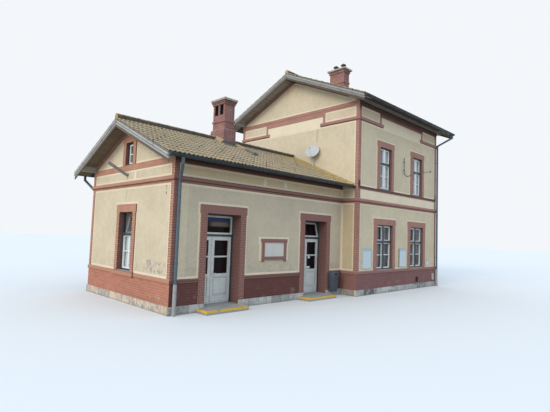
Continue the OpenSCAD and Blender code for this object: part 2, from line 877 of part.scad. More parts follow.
module bargeboards() {
    color(timber_c) {
        barge_pair(x_gable - wing_verge, -1, y_wing, wing_eave, wing_apex);
        barge_pair(x_step - block_verge, -1, y_block, block_eave, block_apex);
        barge_pair(x_end + end_verge, 1, y_block, block_eave, block_apex);
    }
}

module roof_purlins() {
    color(timber_c) {
        difference() {
            wing_purlins();
            wing_stack_core();
        }
        difference() {
            block_purlins();
            block_stack_core();
        }
    }
}

// Half-round gutter hung from the deck edge
module gutter_run(xa, xb, y, z, side) {
    sheet = 4;
    translate([0, y, z]) difference() {
        union() {
            translate([xa, side * gutter_r, 0]) rotate([0, 90, 0]) cylinder(r = gutter_r, h = xb - xa);
            block_box(xa, xb, side > 0 ? 0 : -sheet, side > 0 ? sheet : 0, -gutter_r * 0.6, 0);
        }
        translate([xa + sheet, side * gutter_r, 0]) rotate([0, 90, 0])
            cylinder(r = gutter_r - sheet, h = xb - xa - 2 * sheet);
        block_box(xa - 1, xb + 1, -3 * gutter_r, 3 * gutter_r, 0, gutter_r + 1);
    }
}

wing_gutter_y = y_wing + wing_eave;
wing_gutter_z = under(wing_apex, wing_gutter_y) + deck_rise * 0.7;
block_gutter_y = y_block + block_eave;
block_gutter_z = under(block_apex, block_gutter_y) + deck_rise * 0.7;

module gutters() {
    color(sheet_c) for (s = [-1, 1]) {
        gutter_run(x_gable - wing_verge, x_step - band_out - 2, s * wing_gutter_y, wing_gutter_z, s);
        gutter_run(x_step - block_verge, x_end + end_verge, s * block_gutter_y, block_gutter_z, s);
    }
}

// A round pipe through a list of points, with a ball elbow at each bend
elbow_out = 2;

module pipe_run(points, r, ball = elbow_out) {
    for (i = [0:len(points) - 2]) {
        a = points[i];
        d = points[i + 1] - a;
        l = norm(d);
        translate(a) rotate([0, acos(d[2] / l), atan2(d[1], d[0])]) cylinder(r = r, h = l);
    }
    for (i = [1:len(points) - 2]) translate(points[i]) sphere(r = r + ball);
}

// Downpipe from a gutter at gx to the wall at wx, ys the wall face, side outward
module downpipe(gx, wx, gutter_y, gutter_z, wall_y, side) {
    out = pipe_r + 55;
    yg = side * (gutter_y + gutter_r);
    yw = side * (wall_y + out);
    zg = gutter_z - gutter_r;
    pipe_run([[gx, yg, zg], [gx, yg, zg - 150], [wx, yw, zg - 620], [wx, yw, 900]], pipe_r);
    translate([wx, yw, 0]) cylinder(r = pipe_r + 8, h = 900);
    for (z = [1500, (zg - 620) * 0.75])
        block_box(wx - 12, wx + 12, side > 0 ? wall_y : -wall_y - out, side > 0 ? wall_y + out : -wall_y, z, z + 30);
}

module downpipes() {
    inset = strip_w + pipe_r + 60;
    color(sheet_c) for (s = [-1, 1]) {
        downpipe(x_gable - 150, x_gable + 110, wing_gutter_y, wing_gutter_z, y_wing + band_out, s);
        downpipe(x_end + end_verge - 200, x_end - 60, block_gutter_y, block_gutter_z, y_block + band_out, s);
    }
}

// Chimneys, each with a shaft whose mouldings follow one profile
module wing_chimney() {
    top = wing_chimney_top;
    foot = top - 1310;
    ring = top - 980;
    corbel = top - cap_slab_h - 160;
    half = wing_stack_x / 2;
    side = wing_stack_y / 2;
    color(brick_c) difference() {
        profiled_block(x_wing_stack - half, x_wing_stack + half, side, [
            [foot_out, ground_floor_z], [foot_out, foot], [0, foot + foot_out], [0, ring], [30, ring], [30, ring + 80],
            [0, ring + 80], [0, corbel], [30, corbel], [30, corbel + 80], [60, corbel + 80], [60, top - cap_slab_h],
            [90, top - cap_slab_h], [90, top],
        ]);
        for (s = [-1, 1])
            block_box(x_wing_stack - 2 * half, x_wing_stack + 2 * half, s * slot_w - slot_w / 2,
                s * slot_w + slot_w / 2, corbel - 30 - slot_h, corbel - 30);
    }
}

pot_gap = 500;

module block_chimney() {
    top = block_chimney_top;
    ring = top - 820;
    corbel = top - cap_slab_h - 150;
    half = block_stack_x / 2;
    color(brick_c) union() {
        profiled_block(x_block_stack - half, x_block_stack + half, block_stack_y / 2, [
            [0, ground_floor_z], [0, ring], [25, ring], [25, ring + 110], [0, ring + 110], [0, corbel], [40, corbel],
            [40, top - cap_slab_h], [cap_out, top - cap_slab_h], [cap_out, top],
        ]);
        for (s = [-1, 1]) translate([x_block_stack, s * pot_gap / 2, top]) cylinder(r1 = 165, r2 = 110, h = 110);
    }
}

module chimney_pots() {
    color("dimgray") for (s = [-1, 1]) translate([x_block_stack, s * pot_gap / 2, block_chimney_top + 110]) {
        cylinder(r = 85, h = 120);
        translate([0, 0, 120]) cylinder(r = 150, h = 30);
        translate([0, 0, 150]) cylinder(r1 = 130, r2 = 60, h = 70);
    }
}

// Windows: a dark frame with a cross, with a transom alone, or plain
module frame_hole(x, z, w, h) {
    translate([x, -eps, z]) cube([w, frame_d + 2 * eps, h]);
}

module frame_shape(w, h, columns, rows) {
    cell = (w - 2 * border_w - (columns - 1) * mullion_w) / columns;
    tz = h * transom_share;
    difference() {
        cube([w, frame_d, h]);
        for (i = [0:columns - 1]) {
            x = border_w + i * (cell + mullion_w);
            if (rows > 1) {
                frame_hole(x, border_w, cell, tz - mullion_w / 2 - border_w);
                frame_hole(x, tz + mullion_w / 2, cell, h - border_w - tz - mullion_w / 2);
            } else
                frame_hole(x, border_w, cell, h - 2 * border_w);
        }
    }
}

module window_frames() {
    color(sheet_c) {
        for (w = window_list) on_wall(w) translate([-w[2] / 2, reveal_of(w), sill_t])
            frame_shape(w[2], w[3] - sill_t, w[5] ? 1 : 2, 2);
        on_wall(attic_window) translate([-attic_window_w / 2, window_reveal, 0])
            frame_shape(attic_window_w, attic_window_h, 1, 1);
    }
}

// One glazed sash; bar is the height of its glazing bar, 0 for none
module sash(w, h, bar) {
    difference() {
        cube([w, sash_d, h]);
        if (bar > 0) {
            translate([sash_w, -eps, sash_w]) cube([w - 2 * sash_w, sash_d + 2 * eps, bar - sash_w - 15]);
            translate([sash_w, -eps, bar + 15]) cube([w - 2 * sash_w, sash_d + 2 * eps, h - sash_w - bar - 15]);
        } else
            translate([sash_w, -eps, sash_w]) cube([w - 2 * sash_w, sash_d + 2 * eps, h - 2 * sash_w]);
    }
}

module pane(w, h) {
    translate([sash_w / 2, sash_d, sash_w / 2]) cube([w - sash_w, pane_t, h - sash_w]);
}

// Leans a top light inward about its inner lower edge
module tilt_in(open) {
    translate([0, sash_d, 0]) rotate([open ? -light_tilt : 0, 0, 0]) translate([0, -sash_d, 0]) children();
}

// Sashes of one window, laid against the back of its frame
module window_set(w, glass) {
    h = w[3] - sill_t;
    tz = h * transom_share;
    half = w[2] / 2 - 1;
    lights = w[5] ? [[0, w[2]]] : [[0, half], [half + 2, half]];
    on_wall(w) translate([-w[2] / 2, reveal_of(w) + frame_d, sill_t]) {
        for (x = [0, half + 2]) translate([x, 0, 0]) {
            if (glass) pane(half, tz - 1);
            else sash(half, tz - 1, tz * 0.52);
        }
        for (l = lights) translate([l[0], 0, tz + 1]) tilt_in(w[5]) {
            if (glass) pane(l[1], h - tz - 1);
            else {
                sash(l[1], h - tz - 1, 0);
                if (w[5]) translate([l[1] / 2 - 15, 0, sash_w - eps]) cube([30, sash_d, h - tz + 1 - 2 * sash_w]);
            }
        }
    }
}

// The attic window has one fixed sash
module attic_set(glass) {
    on_wall(attic_window) translate([-attic_window_w / 2, window_reveal + frame_d, 0]) {
        if (glass) pane(attic_window_w, attic_window_h);
        else sash(attic_window_w, attic_window_h, attic_window_h * 0.5);
    }
}

module window_sashes() {
    color(white_c) {
        for (w = window_list) window_set(w, false);
        attic_set(false);
    }
}

module window_glass() {
    color(glass_c) {
        for (w = window_list) window_set(w, true);
        attic_set(true);
    }
}

// Doorsteps
module doorsteps() {
    color(stone_c) for (x = doors)
        block_box(x - step_w / 2 - step_shift, x + step_w / 2 - step_shift, -y_wing - step_d, -y_wing - base_out, 0, step_h);
}

// Door frames: posts, head and transom bar, set back in the reveal
frame_y = -y_wing + door_reveal - 20;
leaf_y = -y_wing + door_reveal;
leaf_in = leaf_y + leaf_t;
door_frame_d = leaf_t + 20;
hinge_y = leaf_in + knuckle_r;
leaf_bottom = ground_floor_z + sill_gap;
hinge_levels = [leaf_bottom + 230, leaf_top - 300];

module door_frames() {
    color("dimgray") for (x = doors) {
        difference() {
            block_box(x - door_w / 2, x + door_w / 2, frame_y, frame_y + door_frame_d, ground_floor_z, head_z);
            block_box(x - door_w / 2 + post_w, x + door_w / 2 - post_w, frame_y - eps, frame_y + door_frame_d + eps,
                ground_floor_z - eps, leaf_top + hinge_gap);
            block_box(x - door_w / 2 + post_w, x + door_w / 2 - post_w, frame_y - eps, frame_y + door_frame_d + eps,
                leaf_top + hinge_gap + transom_h, head_z - post_w);
        }
        for (s = [-1, 1], z = hinge_levels) frame_knuckle(x + s * (door_w / 2 - post_w), s, z);
    }
}

// Lower knuckle on the post with the pin that the leaf knuckle turns on
module frame_knuckle(x, s, z) {
    hx = x - s * hinge_gap / 2;
    translate([hx, hinge_y, z]) {
        cylinder(r = knuckle_r, h = knuckle_h);
        cylinder(r = pin_r, h = 2 * knuckle_h - 5);
    }
    block_box(s > 0 ? x : x - 30, s > 0 ? x + 30 : x, leaf_in, leaf_in + 4, z, z + knuckle_h);
    block_box(min(hx, x + s * 5), max(hx, x + s * 5), leaf_in, leaf_in + 4, z, z + knuckle_h);
}

// Upper knuckle on the leaf, bored for the pin
module leaf_knuckle(x, s, z) {
    hx = x - s * hinge_gap / 2;
    edge = x - s * hinge_gap;
    zk = z + knuckle_h + 0.3;
    translate([0, 0, zk]) difference() {
        union() {
            translate([hx, hinge_y, 0]) cylinder(r = knuckle_r, h = knuckle_h);
            block_box(s > 0 ? edge - 40 : hx, s > 0 ? hx : edge + 40, leaf_in, leaf_in + 4, 0, knuckle_h);
        }
        translate([hx, hinge_y, -eps]) cylinder(r = pin_r + 0.3, h = knuckle_h + 2 * eps);
    }
}

// A door leaf between xa and xb, with a glazed upper light and a lower panel
glass_z0 = 1090;
glass_z1 = 2190;

module leaf_body(xa, xb) {
    difference() {
        block_box(xa, xb, leaf_y, leaf_in, leaf_bottom, leaf_top);
        block_box(xa + stile_w, xb - stile_w, leaf_y - eps, leaf_in + eps, glass_z0, 1630);
        block_box(xa + stile_w, xb - stile_w, leaf_y - eps, leaf_in + eps, 1670, glass_z1);
        block_box(xa + stile_w, xb - stile_w, leaf_y - eps, leaf_y + 12, 400, 980);
    }
}

module leaf_pane(xa, xb) {
    color(glass_c) block_box(xa + stile_w - 20, xb - stile_w + 20, leaf_in, leaf_in + pane_t, glass_z0 - 20, glass_z1 + 20);
}

function wide_x(x) = [x + door_w / 2 - post_w - hinge_gap - wide_leaf_w, x + door_w / 2 - post_w - hinge_gap];
function narrow_x(x) = [x - door_w / 2 + post_w + hinge_gap, wide_x(x)[0] - meeting_gap];

module wide_leaf(x) {
    r = wide_x(x);
    color(white_c) union() {
        leaf_body(r[0], r[1]);
        for (z = hinge_levels) leaf_knuckle(x + door_w / 2 - post_w, 1, z);
        door_handle(r[0] + stile_w / 2);
    }
}

module narrow_leaf(x) {
    r = narrow_x(x);
    color(white_c) union() {
        leaf_body(r[0], r[1]);
        for (z = hinge_levels) leaf_knuckle(x - door_w / 2 + post_w, -1, z);
    }
}

module door_handle(x) {
    block_box(x - 20, x + 20, leaf_y - 6, leaf_y, 1000, 1180);
    translate([x, leaf_y - 55, 1110]) rotate([-90, 0, 0]) cylinder(r = 9, h = 55);
    block_box(x - 9, x + 130, leaf_y - 62, leaf_y - 46, 1101, 1119);
}

module door_1_wide_leaf() { wide_leaf(doors[0]); }
module door_1_narrow_leaf() { narrow_leaf(doors[0]); }
module door_2_wide_leaf() { wide_leaf(doors[1]); }
module door_2_narrow_leaf() { narrow_leaf(doors[1]); }
module door_1_wide_glass() { leaf_pane(wide_x(doors[0])[0], wide_x(doors[0])[1]); }
module door_1_narrow_glass() { leaf_pane(narrow_x(doors[0])[0], narrow_x(doors[0])[1]); }
module door_2_wide_glass() { leaf_pane(wide_x(doors[1])[0], wide_x(doors[1])[1]); }
module door_2_narrow_glass() { leaf_pane(narrow_x(doors[1])[0], narrow_x(doors[1])[1]); }

// Top lights over the doors; the second one is tilted inward about its foot
light_z = leaf_top + hinge_gap + transom_h;
light_h = head_z - post_w - light_z;

module at_light(i) {
    translate([doors[i], frame_y, light_z]) tilt_in(i == 1) children();
}

module door_lights() {
    w = door_w - 2 * post_w;
    color(white_c) for (i = [0, 1]) at_light(i) translate([-w / 2, 0, 0]) sash(w, light_h, 0);
}

module door_light_glass() {
    w = door_w - 2 * post_w;
    color(glass_c) for (i = [0, 1]) at_light(i) translate([-w / 2, 0, 0]) pane(w, light_h);
}

// Things fixed to the walls
module notice_board(x, w, h) {
    block_box(x, x + w, -y_block - board_t, -y_block, board_z, board_z + h);
}

module notice_boards() {
    surround_w = big_window_w / 2 + jamb_w + lintel_ear;
    left = x_block - window_out - surround_w;
    right = x_block + window_out + surround_w;
    color(white_c) {
        notice_board(left - board_gap - board_w, board_w, board_h);
        notice_board(x_block + board_gap * 0.7 - board_w / 2, board_w, board_h);
        notice_board(right + board_gap * 0.7, small_board_w, small_board_h);
    }
}

module gable_lamp() {
    rise = 27.8;
    shell_h = 70;
    shell_w = 110;
    color("silver") translate([x_gable, 100, 4300]) union() {
        block_box(-12, 0, -45, 45, -70, 70);
        block_box(-60, -11, -30, 30, -10, 40);
        rotate([0, rise, 0]) translate([-lamp_l - 30, -shell_w / 2, -shell_h / 2]) difference() {
            cube([lamp_l, shell_w, shell_h]);
            translate([60, 15, -eps]) cube([lamp_l - 200, shell_w - 30, 15]);
        }
    }
}

// A thin bowl with its vertex at the origin, opening upward
module bowl(r, depth, t) {
    big = (r * r + depth * depth) / (2 * depth);
    intersection() {
        translate([0, 0, big]) difference() {
            sphere(r = big);
            sphere(r = big - t);
        }
        translate([0, 0, -t]) cylinder(r = r - 1, h = depth + 2 * t);
    }
}

// Dish on a mast that stands on the wing roof beside the block
module satellite_dish() {
    x = x_step - 125;
    y = -1370;
    foot = under(wing_apex, y) + deck_rise + tile_rise - roll_h / cos(pitch) + 3 * seat;
    plate = 94;
    lift = 640 + roll_h;
    tube = 22;
    color("lightgray") union() {
        translate([x, y, foot]) rotate([pitch, 0, 0])
            translate([-plate / 2, -plate / 2, 0]) cube([plate, plate, 10]);
        translate([x, y, foot + 11]) cylinder(r = tube, h = lift + 44);
        translate([x, y, foot + lift]) rotate([0, 0, 200]) rotate([0, 62, 0]) {
            translate([0, 0, -10]) cylinder(r = 45, h = 75);
            translate([0, 0, 60]) bowl(dish_r, 70, 6);
        }
        translate([x, y, foot + lift]) rotate([0, 0, 200]) {
            pipe_run([[45, 0, -40], [210, 0, -300], [470, 0, 130]], 11, 4);
            translate([470, 0, 130]) rotate([0, -62, 0]) translate([0, 0, -25]) cylinder(r = 28, h = 80);
        }
    }
}

// Bent tube clamped to the block front, running out to an end plate
module aerial_arm() {
    x = x_block + 115;
    y = -y_block - 60;
    z = upper_sill_z + 960;
    tube = 18;
    color("gray") union() {
        pipe_run([[x, y, z + 800], [x, y, z], [x, y - 150, z - 140], [x, y - 650, z]], tube, 5);
        block_box(x - 32, x + 32, y - 750, y - 560, z - 32, z + 32);
        block_box(x - 15, x + 15, -y_block - arm_l, y - 749, z - 15, z + 15);
        block_box(x - 55, x + 55, -y_block - arm_l - 10, -y_block - arm_l, z - 55, z + 55);
        for (up = [160, 560]) block_box(x - 24, x + 24, y - 24, -y_block, z + up, z + up + 30);
    }
}

// Bin hung on the wall on a bracket
module litter_bin() {
    front = 300;
    back = 60;
    color("gray") translate([x_step - bin_x, -y_wing, 0]) union() {
        block_box(-bin_w / 2, bin_w / 2, -front, -back, 190, 980);
        block_box(-60, 60, -back - 1, -band_out, 600, 700);
    }
}

wing_floor();
block_floor();
upper_floor();
attic_floor();
stone_base();
wing_front_wall_left();
wing_front_wall_middle();
wing_front_wall_right();
wing_front_wall_head();
wing_gable_wall();
wing_back_wall();
block_side_wall();
block_front_wall();
block_back_wall();
block_end_wall();
brick_plinth();
string_course();
wing_brick_bands();
block_brick_bands();
block_cornice();
corner_panels();
door_surrounds();
ground_surrounds();
upper_surrounds();
wall_panel();
window_sills();
wing_roof_deck();
block_roof_deck();
wing_roof_tiles();
block_roof_tiles();
ridge_tiles();
bargeboards();
roof_purlins();
gutters();
downpipes();
wing_chimney();
block_chimney();
chimney_pots();
window_frames();
window_sashes();
window_glass();
doorsteps();
door_frames();
door_lights();
door_light_glass();
door_1_wide_leaf();
door_1_narrow_leaf();
door_2_wide_leaf();
door_2_narrow_leaf();
door_1_wide_glass();
door_1_narrow_glass();
door_2_wide_glass();
door_2_narrow_glass();
notice_boards();
gable_lamp();
satellite_dish();
aerial_arm();
litter_bin();
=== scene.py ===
"""Looks of a small railway station: a low wing and a taller block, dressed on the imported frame.

Every length is in metres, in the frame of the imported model: X runs along the ridges, the platform
side faces -Y, the gable of the wing faces -X and the ground is at Z = 0.
"""

import logging
import math
from collections.abc import Callable
from dataclasses import dataclass, replace
from enum import Enum
from typing import TypeAlias

import bmesh
import bpy
from mathutils import Matrix, Vector


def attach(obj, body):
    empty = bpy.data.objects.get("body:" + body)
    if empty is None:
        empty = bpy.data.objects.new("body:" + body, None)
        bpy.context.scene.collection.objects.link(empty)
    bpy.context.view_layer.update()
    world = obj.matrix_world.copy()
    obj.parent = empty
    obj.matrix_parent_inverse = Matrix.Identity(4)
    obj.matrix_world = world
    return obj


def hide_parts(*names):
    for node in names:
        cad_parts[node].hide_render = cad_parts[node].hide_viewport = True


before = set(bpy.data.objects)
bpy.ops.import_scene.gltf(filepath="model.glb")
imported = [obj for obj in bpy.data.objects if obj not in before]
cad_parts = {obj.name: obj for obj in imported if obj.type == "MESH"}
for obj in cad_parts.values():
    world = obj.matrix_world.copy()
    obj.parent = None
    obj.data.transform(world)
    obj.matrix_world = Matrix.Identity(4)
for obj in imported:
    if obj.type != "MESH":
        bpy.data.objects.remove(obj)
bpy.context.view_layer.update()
LOG = logging.getLogger("station")

Colour: TypeAlias = tuple[float, float, float]
Point: TypeAlias = tuple[float, float, float]
Spot: TypeAlias = tuple[float, float]
Ends: TypeAlias = tuple[Spot, Spot]
Bar: TypeAlias = tuple[tuple[Spot, ...], Spot, tuple[int, ...]]
Term: TypeAlias = "Value | float"
Tint: TypeAlias = "Value | Colour"


def maths(operation: str) -> "Callable[..., Value]":
    """Makes a method that adds one kind of Math node.

    Args:
        operation: what the node does.

    Returns:
        The method of Value, which takes the node's other terms.
    """

    def method(value: "Value", *terms: Term) -> "Value":
        """Returns the result of the node."""
        return value.graph.math(operation, value, *terms)

    return method


class Value:
    """One socket of a node tree, with arithmetic that adds Math nodes."""

    __add__ = __radd__ = maths("ADD")
    __sub__ = maths("SUBTRACT")
    __mul__ = __rmul__ = maths("MULTIPLY")
    __truediv__ = maths("DIVIDE")
    __gt__ = maths("GREATER_THAN")
    __lt__ = maths("LESS_THAN")
    size = maths("ABSOLUTE")
    floor = maths("FLOOR")
    fract = maths("FRACT")
    least = maths("MINIMUM")
    most = maths("MAXIMUM")

    def __init__(self, graph: "Graph", socket: bpy.types.NodeSocket) -> None:
        """Keeps the graph and the socket."""
        self.graph = graph
        self.socket = socket

    def __rsub__(self, start: float) -> "Value":
        """Returns a number less this value."""
        return self.graph.math("SUBTRACT", start, self)

    def other(self, name: str) -> "Value":
        """Returns another output of the same node."""
        return Value(self.graph, self.graph.find(self.socket.node.outputs, name))

    def ease(self, low: float, high: float) -> "Value":
        """Returns 0 at low and 1 at high, with a smooth step between.

        Args:
            low: where the step starts.
            high: where the step ends, above or below low.

        Returns:
            The eased value between 0 and 1.
        """
        turned = low > high
        ends = (high, low) if turned else (low, high)
        sockets = {"Value": self, "From Min": ends[0], "From Max": ends[1]}
        eased = self.graph.node("ShaderNodeMapRange", {"interpolation_type": "SMOOTHSTEP"}, sockets)
        return 1 - eased if turned else eased


class Graph:
    """Builds the nodes of one tree."""

    def __init__(self, tree: bpy.types.NodeTree) -> None:
        """Keeps the tree."""
        self.tree = tree

    def find(self, sockets: bpy.types.bpy_prop_collection, key: "int | str") -> bpy.types.NodeSocket:
        """Finds a socket by its place, its name or its identifier.

        Args:
            sockets: the inputs or the outputs of a node.
            key: place, name or identifier.

        Returns:
            The socket.
        """
        if isinstance(key, int):
            return sockets[key]
        named = [s for s in sockets if s.enabled and s.name == key]
        return named[0] if named else next(s for s in sockets if s.identifier == key)

    def node(self, kind: str, settings: "dict | None" = None, sockets: "dict | None" = None,
             output: "int | str" = 0) -> Value:
        """Adds one node.

        Args:
            kind: type name of the node.
            settings: properties, set before anything is linked.
            sockets: numbers, colours or values for the inputs.
            output: the output that is wrapped.

        Returns:
            The chosen output.
        """
        made = self.tree.nodes.new(kind)
        for key, setting in (settings or {}).items():
            setattr(made, key, setting)
        for key, given in (sockets or {}).items():
            socket = self.find(made.inputs, key)
            if isinstance(given, Value):
                self.tree.links.new(given.socket, socket)
            else:
                socket.default_value = given
        outputs = made.outputs
        return Value(self, self.find(outputs, output) if len(outputs) else made.inputs[0])

    def math(self, operation: str, *terms: Term) -> Value:
        """Adds a Math node on one, two or three terms."""
        return self.node("ShaderNodeMath", {"operation": operation}, dict(enumerate(terms)))

    def vector(self, x: Term, y: Term, z: Term) -> Value:
        """Returns a vector made of three values."""
        return self.node("ShaderNodeCombineXYZ", None, {0: x, 1: y, 2: z})

    def split(self, vector: Value) -> tuple[Value, Value, Value]:
        """Returns the three parts of a vector."""
        first = self.node("ShaderNodeSeparateXYZ", None, {0: vector})
        return first, first.other("Y"), first.other("Z")


class Paintbox(Graph):
    """Shader nodes that the finishes share.

    A face looks along X or Y where its normal lies past the facing share on that axis, and it lies
    flat where the upright part of its normal is past the flat share.
    """

    facing: float = 0.6
    flat: float = 0.7

    def __init__(self, tree: bpy.types.NodeTree) -> None:
        """Adds the coordinates of the piece."""
        super().__init__(tree)
        self.place = self.node("ShaderNodeTexCoord", None, None, "Object")
        self.x, self.y, self.z = self.split(self.place)
        self.nx, self.ny, self.nz = self.split(self.place.other("Normal"))

    def pick(self, mask: Value, yes: Term, no: Term) -> Value:
        """Returns yes where the mask is 1 and no where it is 0."""
        return mask * yes + (1 - mask) * no

    def facade(self) -> tuple[Value, Value]:
        """Returns how far a point is along its wall and up it, for walls that face X or Y."""
        along = self.pick(self.nx.size() > self.facing, self.y, self.x)
        return along, self.pick(self.nz.size() > self.flat, self.y, self.z)

    def fronts(self) -> Value:
        """Returns 1 on faces towards the platform or away from it."""
        return self.ny.size() > self.facing

    def bands(self, ranges: tuple[Spot, ...], start: Term = 0.0) -> Term:
        """Finds ranges of height.

        Args:
            ranges: lower and upper level of each range.
            start: a mask that is joined to them.

        Returns:
            1 within a range or where start is 1, else 0.
        """
        mask = start
        for low, high in ranges:
            mask = ((self.z > low) * (self.z < high)).most(mask)
        return mask

    def noise(self, scale: float, detail: float = 2.0, at: "Value | None" = None) -> Value:
        """Returns soft noise between 0 and 1, on the piece or at a given place."""
        sockets = {"Vector": at or self.place, "Scale": scale, "Detail": detail}
        return self.node("ShaderNodeTexNoise", None, sockets)

    def streaks(self, detail: float, x: float, y: float, z: float) -> Value:
        """Returns noise with its own number of waves in a metre along each axis."""
        return self.noise(1.0, detail, self.vector(self.x * x, self.y * y, self.z * z))

    def chance(self, at: Value) -> Value:
        """Returns one random number for each whole place."""
        return self.node("ShaderNodeTexWhiteNoise", {"noise_dimensions": "3D"}, {"Vector": at}, "Value")

    def mix(self, factor: Term, start: Tint, end: Tint, blend: str = "MIX") -> Value:
        """Mixes two colours.

        Args:
            factor: 0 gives start, 1 gives end.
            start: a colour.
            end: a colour.
            blend: how they are mixed.

        Returns:
            The mixed colour.
        """
        pair = [c if isinstance(c, Value) else (*c, 1.0) for c in (start, end)]
        settings = {"data_type": "RGBA", "blend_type": blend}
        sockets = {"Factor_Float": factor, "A_Color": pair[0], "B_Color": pair[1]}
        return self.node("ShaderNodeMix", settings, sockets, "Result_Color")

    def layers(self, colour: Tint, *coats: "tuple[Term, Tint]") -> Tint:
        """Lays coats over a colour.

        Args:
            colour: the ground.
            coats: share and colour of each coat, from the lowest up.

        Returns:
            The colour that shows.
        """
        for share, coat in coats:
            colour = self.mix(share, colour, coat)
        return colour

    def mark_coats(self, marks: "tuple[Mark, ...]") -> "list[tuple[Value, Colour]]":
        """Returns the coats that marks lay on a wall or a pane: stains, chips, painted light and painted
        shade.
        """
        return [(mark.mask(self), mark.colour) for mark in marks]

    def aspect(self, plain: Tint, sunny: Colour, shaded: Colour) -> Value:
        """Picks a face's colour with painted light: a lit copy on faces towards the gable side and a shaded
        copy on the wing's faces on the platform side.

        Args:
            plain: colour of most faces.
            sunny: painted lit colour of faces towards the gable side.
            shaded: painted shaded colour of the wing's faces on the platform side.

        Returns:
            The colour.
        """
        # painted light: faces towards the gable side take the lit colour, fully near the gable and faintly
        # elsewhere
        lit = (self.nx < -self.facing) * self.pick(self.x < PLAN.gable + 1.0, 1.0, 0.22)
        # painted shade: the wing's faces on the platform side take the shaded colour
        dull = (self.ny < -self.facing) * (self.x < PLAN.step - 0.03)
        return self.layers(plain, (lit, sunny), (dull, shaded))

    def shade(self, colour: Tint, light: Value) -> Value:
        """Multiplies a colour by a grey value."""
        return self.mix(1.0, colour, self.vector(light, light, light), "MULTIPLY")

    def bump(self, height: Value, depth: float, strength: float) -> Value:
        """Returns the normal bent by a relief of a depth in metres, shown with a strength."""
        return self.node("ShaderNodeBump", None, {"Height": height, "Distance": depth, "Strength": strength})


@dataclass
class Surface:
    """What a finish hands to the shader."""

    colour: Tint
    roughness: Term = 0.8
    normal: "Value | None" = None
    metallic: float = 0.0
    specular: float = 0.5


@dataclass(frozen=True)
class Finish:
    """A named finish; each kind paints its own surface."""

    name: str
    slot: str

    def paint(self, box: Paintbox) -> Surface:
        """Returns the surface of the finish."""
        raise NotImplementedError(self.name)

    def material(self) -> bpy.types.Material:
        """Returns the material of the finish, made at its first use."""
        name = self.name + "_finish"
        made = bpy.data.materials.get(name)
        if made:
            return made
        made = bpy.data.materials.new(name)
        made.use_nodes = True
        made.node_tree.nodes.clear()
        box = Paintbox(made.node_tree)
        surface = self.paint(box)
        sockets = {
            "Base Color": surface.colour, "Roughness": surface.roughness, "Metallic": surface.metallic,
            "Specular IOR Level": surface.specular,
        }
        if surface.normal:
            sockets["Normal"] = surface.normal
        shader = box.node("ShaderNodeBsdfPrincipled", None, sockets)
        box.node("ShaderNodeOutputMaterial", None, {"Surface": shader})
        return made


@dataclass(frozen=True)
class Mark:
    """A place where a wall is stained, cracked or chipped, or where light, shade or a reflection is painted
    on a wall or a pane.
    """

    centre: Point
    half: Point
    colour: Colour
    strength: float
    grain: float
    cover: float = 0.5

    def mask(self, box: Paintbox) -> Value:
        """Finds where the mark shows.

        Args:
            box: the nodes of the finish.

        Returns:
            A value between 0 and 1.
        """
        shown = box.noise(self.grain, 3.0).ease(1 - self.cover - 0.06, 1 - self.cover + 0.06) * self.strength
        for axis, middle, half in zip((box.x, box.y, box.z), self.centre, self.half):
            shown = shown * ((axis - middle).size() / half).ease(1.0, 0.4)
        return shown


@dataclass(frozen=True)
class Roughcast(Finish):
    """Cream roughcast with pebbles, rain streaks and a few marks."""

    colour: Colour = (0.70, 0.60, 0.435)
    worn: Colour = (0.56, 0.475, 0.35)
    damp: Colour = (0.42, 0.37, 0.30)
    marks: tuple[Mark, ...] = ()

    def paint(self, box: Paintbox) -> Surface:
        """Returns the surface of the finish."""
        pebbles = box.node("ShaderNodeTexVoronoi", None, {"Vector": box.place, "Scale": 38.0}, "Distance")
        hollow = pebbles.ease(0.0, 0.62)
        grit = box.noise(95.0, 3.0)
        patches = box.noise(0.9, 4.0).ease(0.38, 0.68)
        rain = box.streaks(3.0, 5.0, 5.0, 0.45).ease(0.5, 0.74)
        cloud = box.noise(4.5, 3.0).ease(0.35, 0.7)
        low = box.z.ease(1.75, 1.0) * box.noise(6.0, 3.0).ease(0.42, 0.66)
        colour = box.layers(self.colour, (patches * 0.35, self.worn), (rain * 0.2, self.worn),
                            (low * 0.35, self.damp), *box.mark_coats(self.marks))
        light = 1.10 - hollow * 0.22 - (grit - 0.5) * 0.30 - cloud * 0.05
        relief = (1 - hollow) * 0.7 + grit * 0.3
        return Surface(box.shade(colour, light), 0.93, box.bump(relief, 0.006, 0.75), specular=0.2)


@dataclass(frozen=True)
class SmoothPlaster(Finish):
    """Trowelled cream plaster of the borders and bands."""

    colour: Colour = (0.75, 0.65, 0.49)
    worn: Colour = (0.60, 0.53, 0.42)

    def paint(self, box: Paintbox) -> Surface:
        """Returns the surface of the finish."""
        patches = box.noise(1.6, 4.0).ease(0.4, 0.7)
        grain = box.noise(70.0, 3.0)
        rain = box.streaks(3.0, 9.0, 9.0, 0.7).ease(0.52, 0.75)
        colour = box.layers(self.colour, (patches * 0.3, self.worn), (rain * 0.22, self.worn))
        light = 1.0 - (grain - 0.5) * 0.16
        return Surface(box.shade(colour, light), 0.88, box.bump(grain, 0.0015, 0.5), specular=0.25)


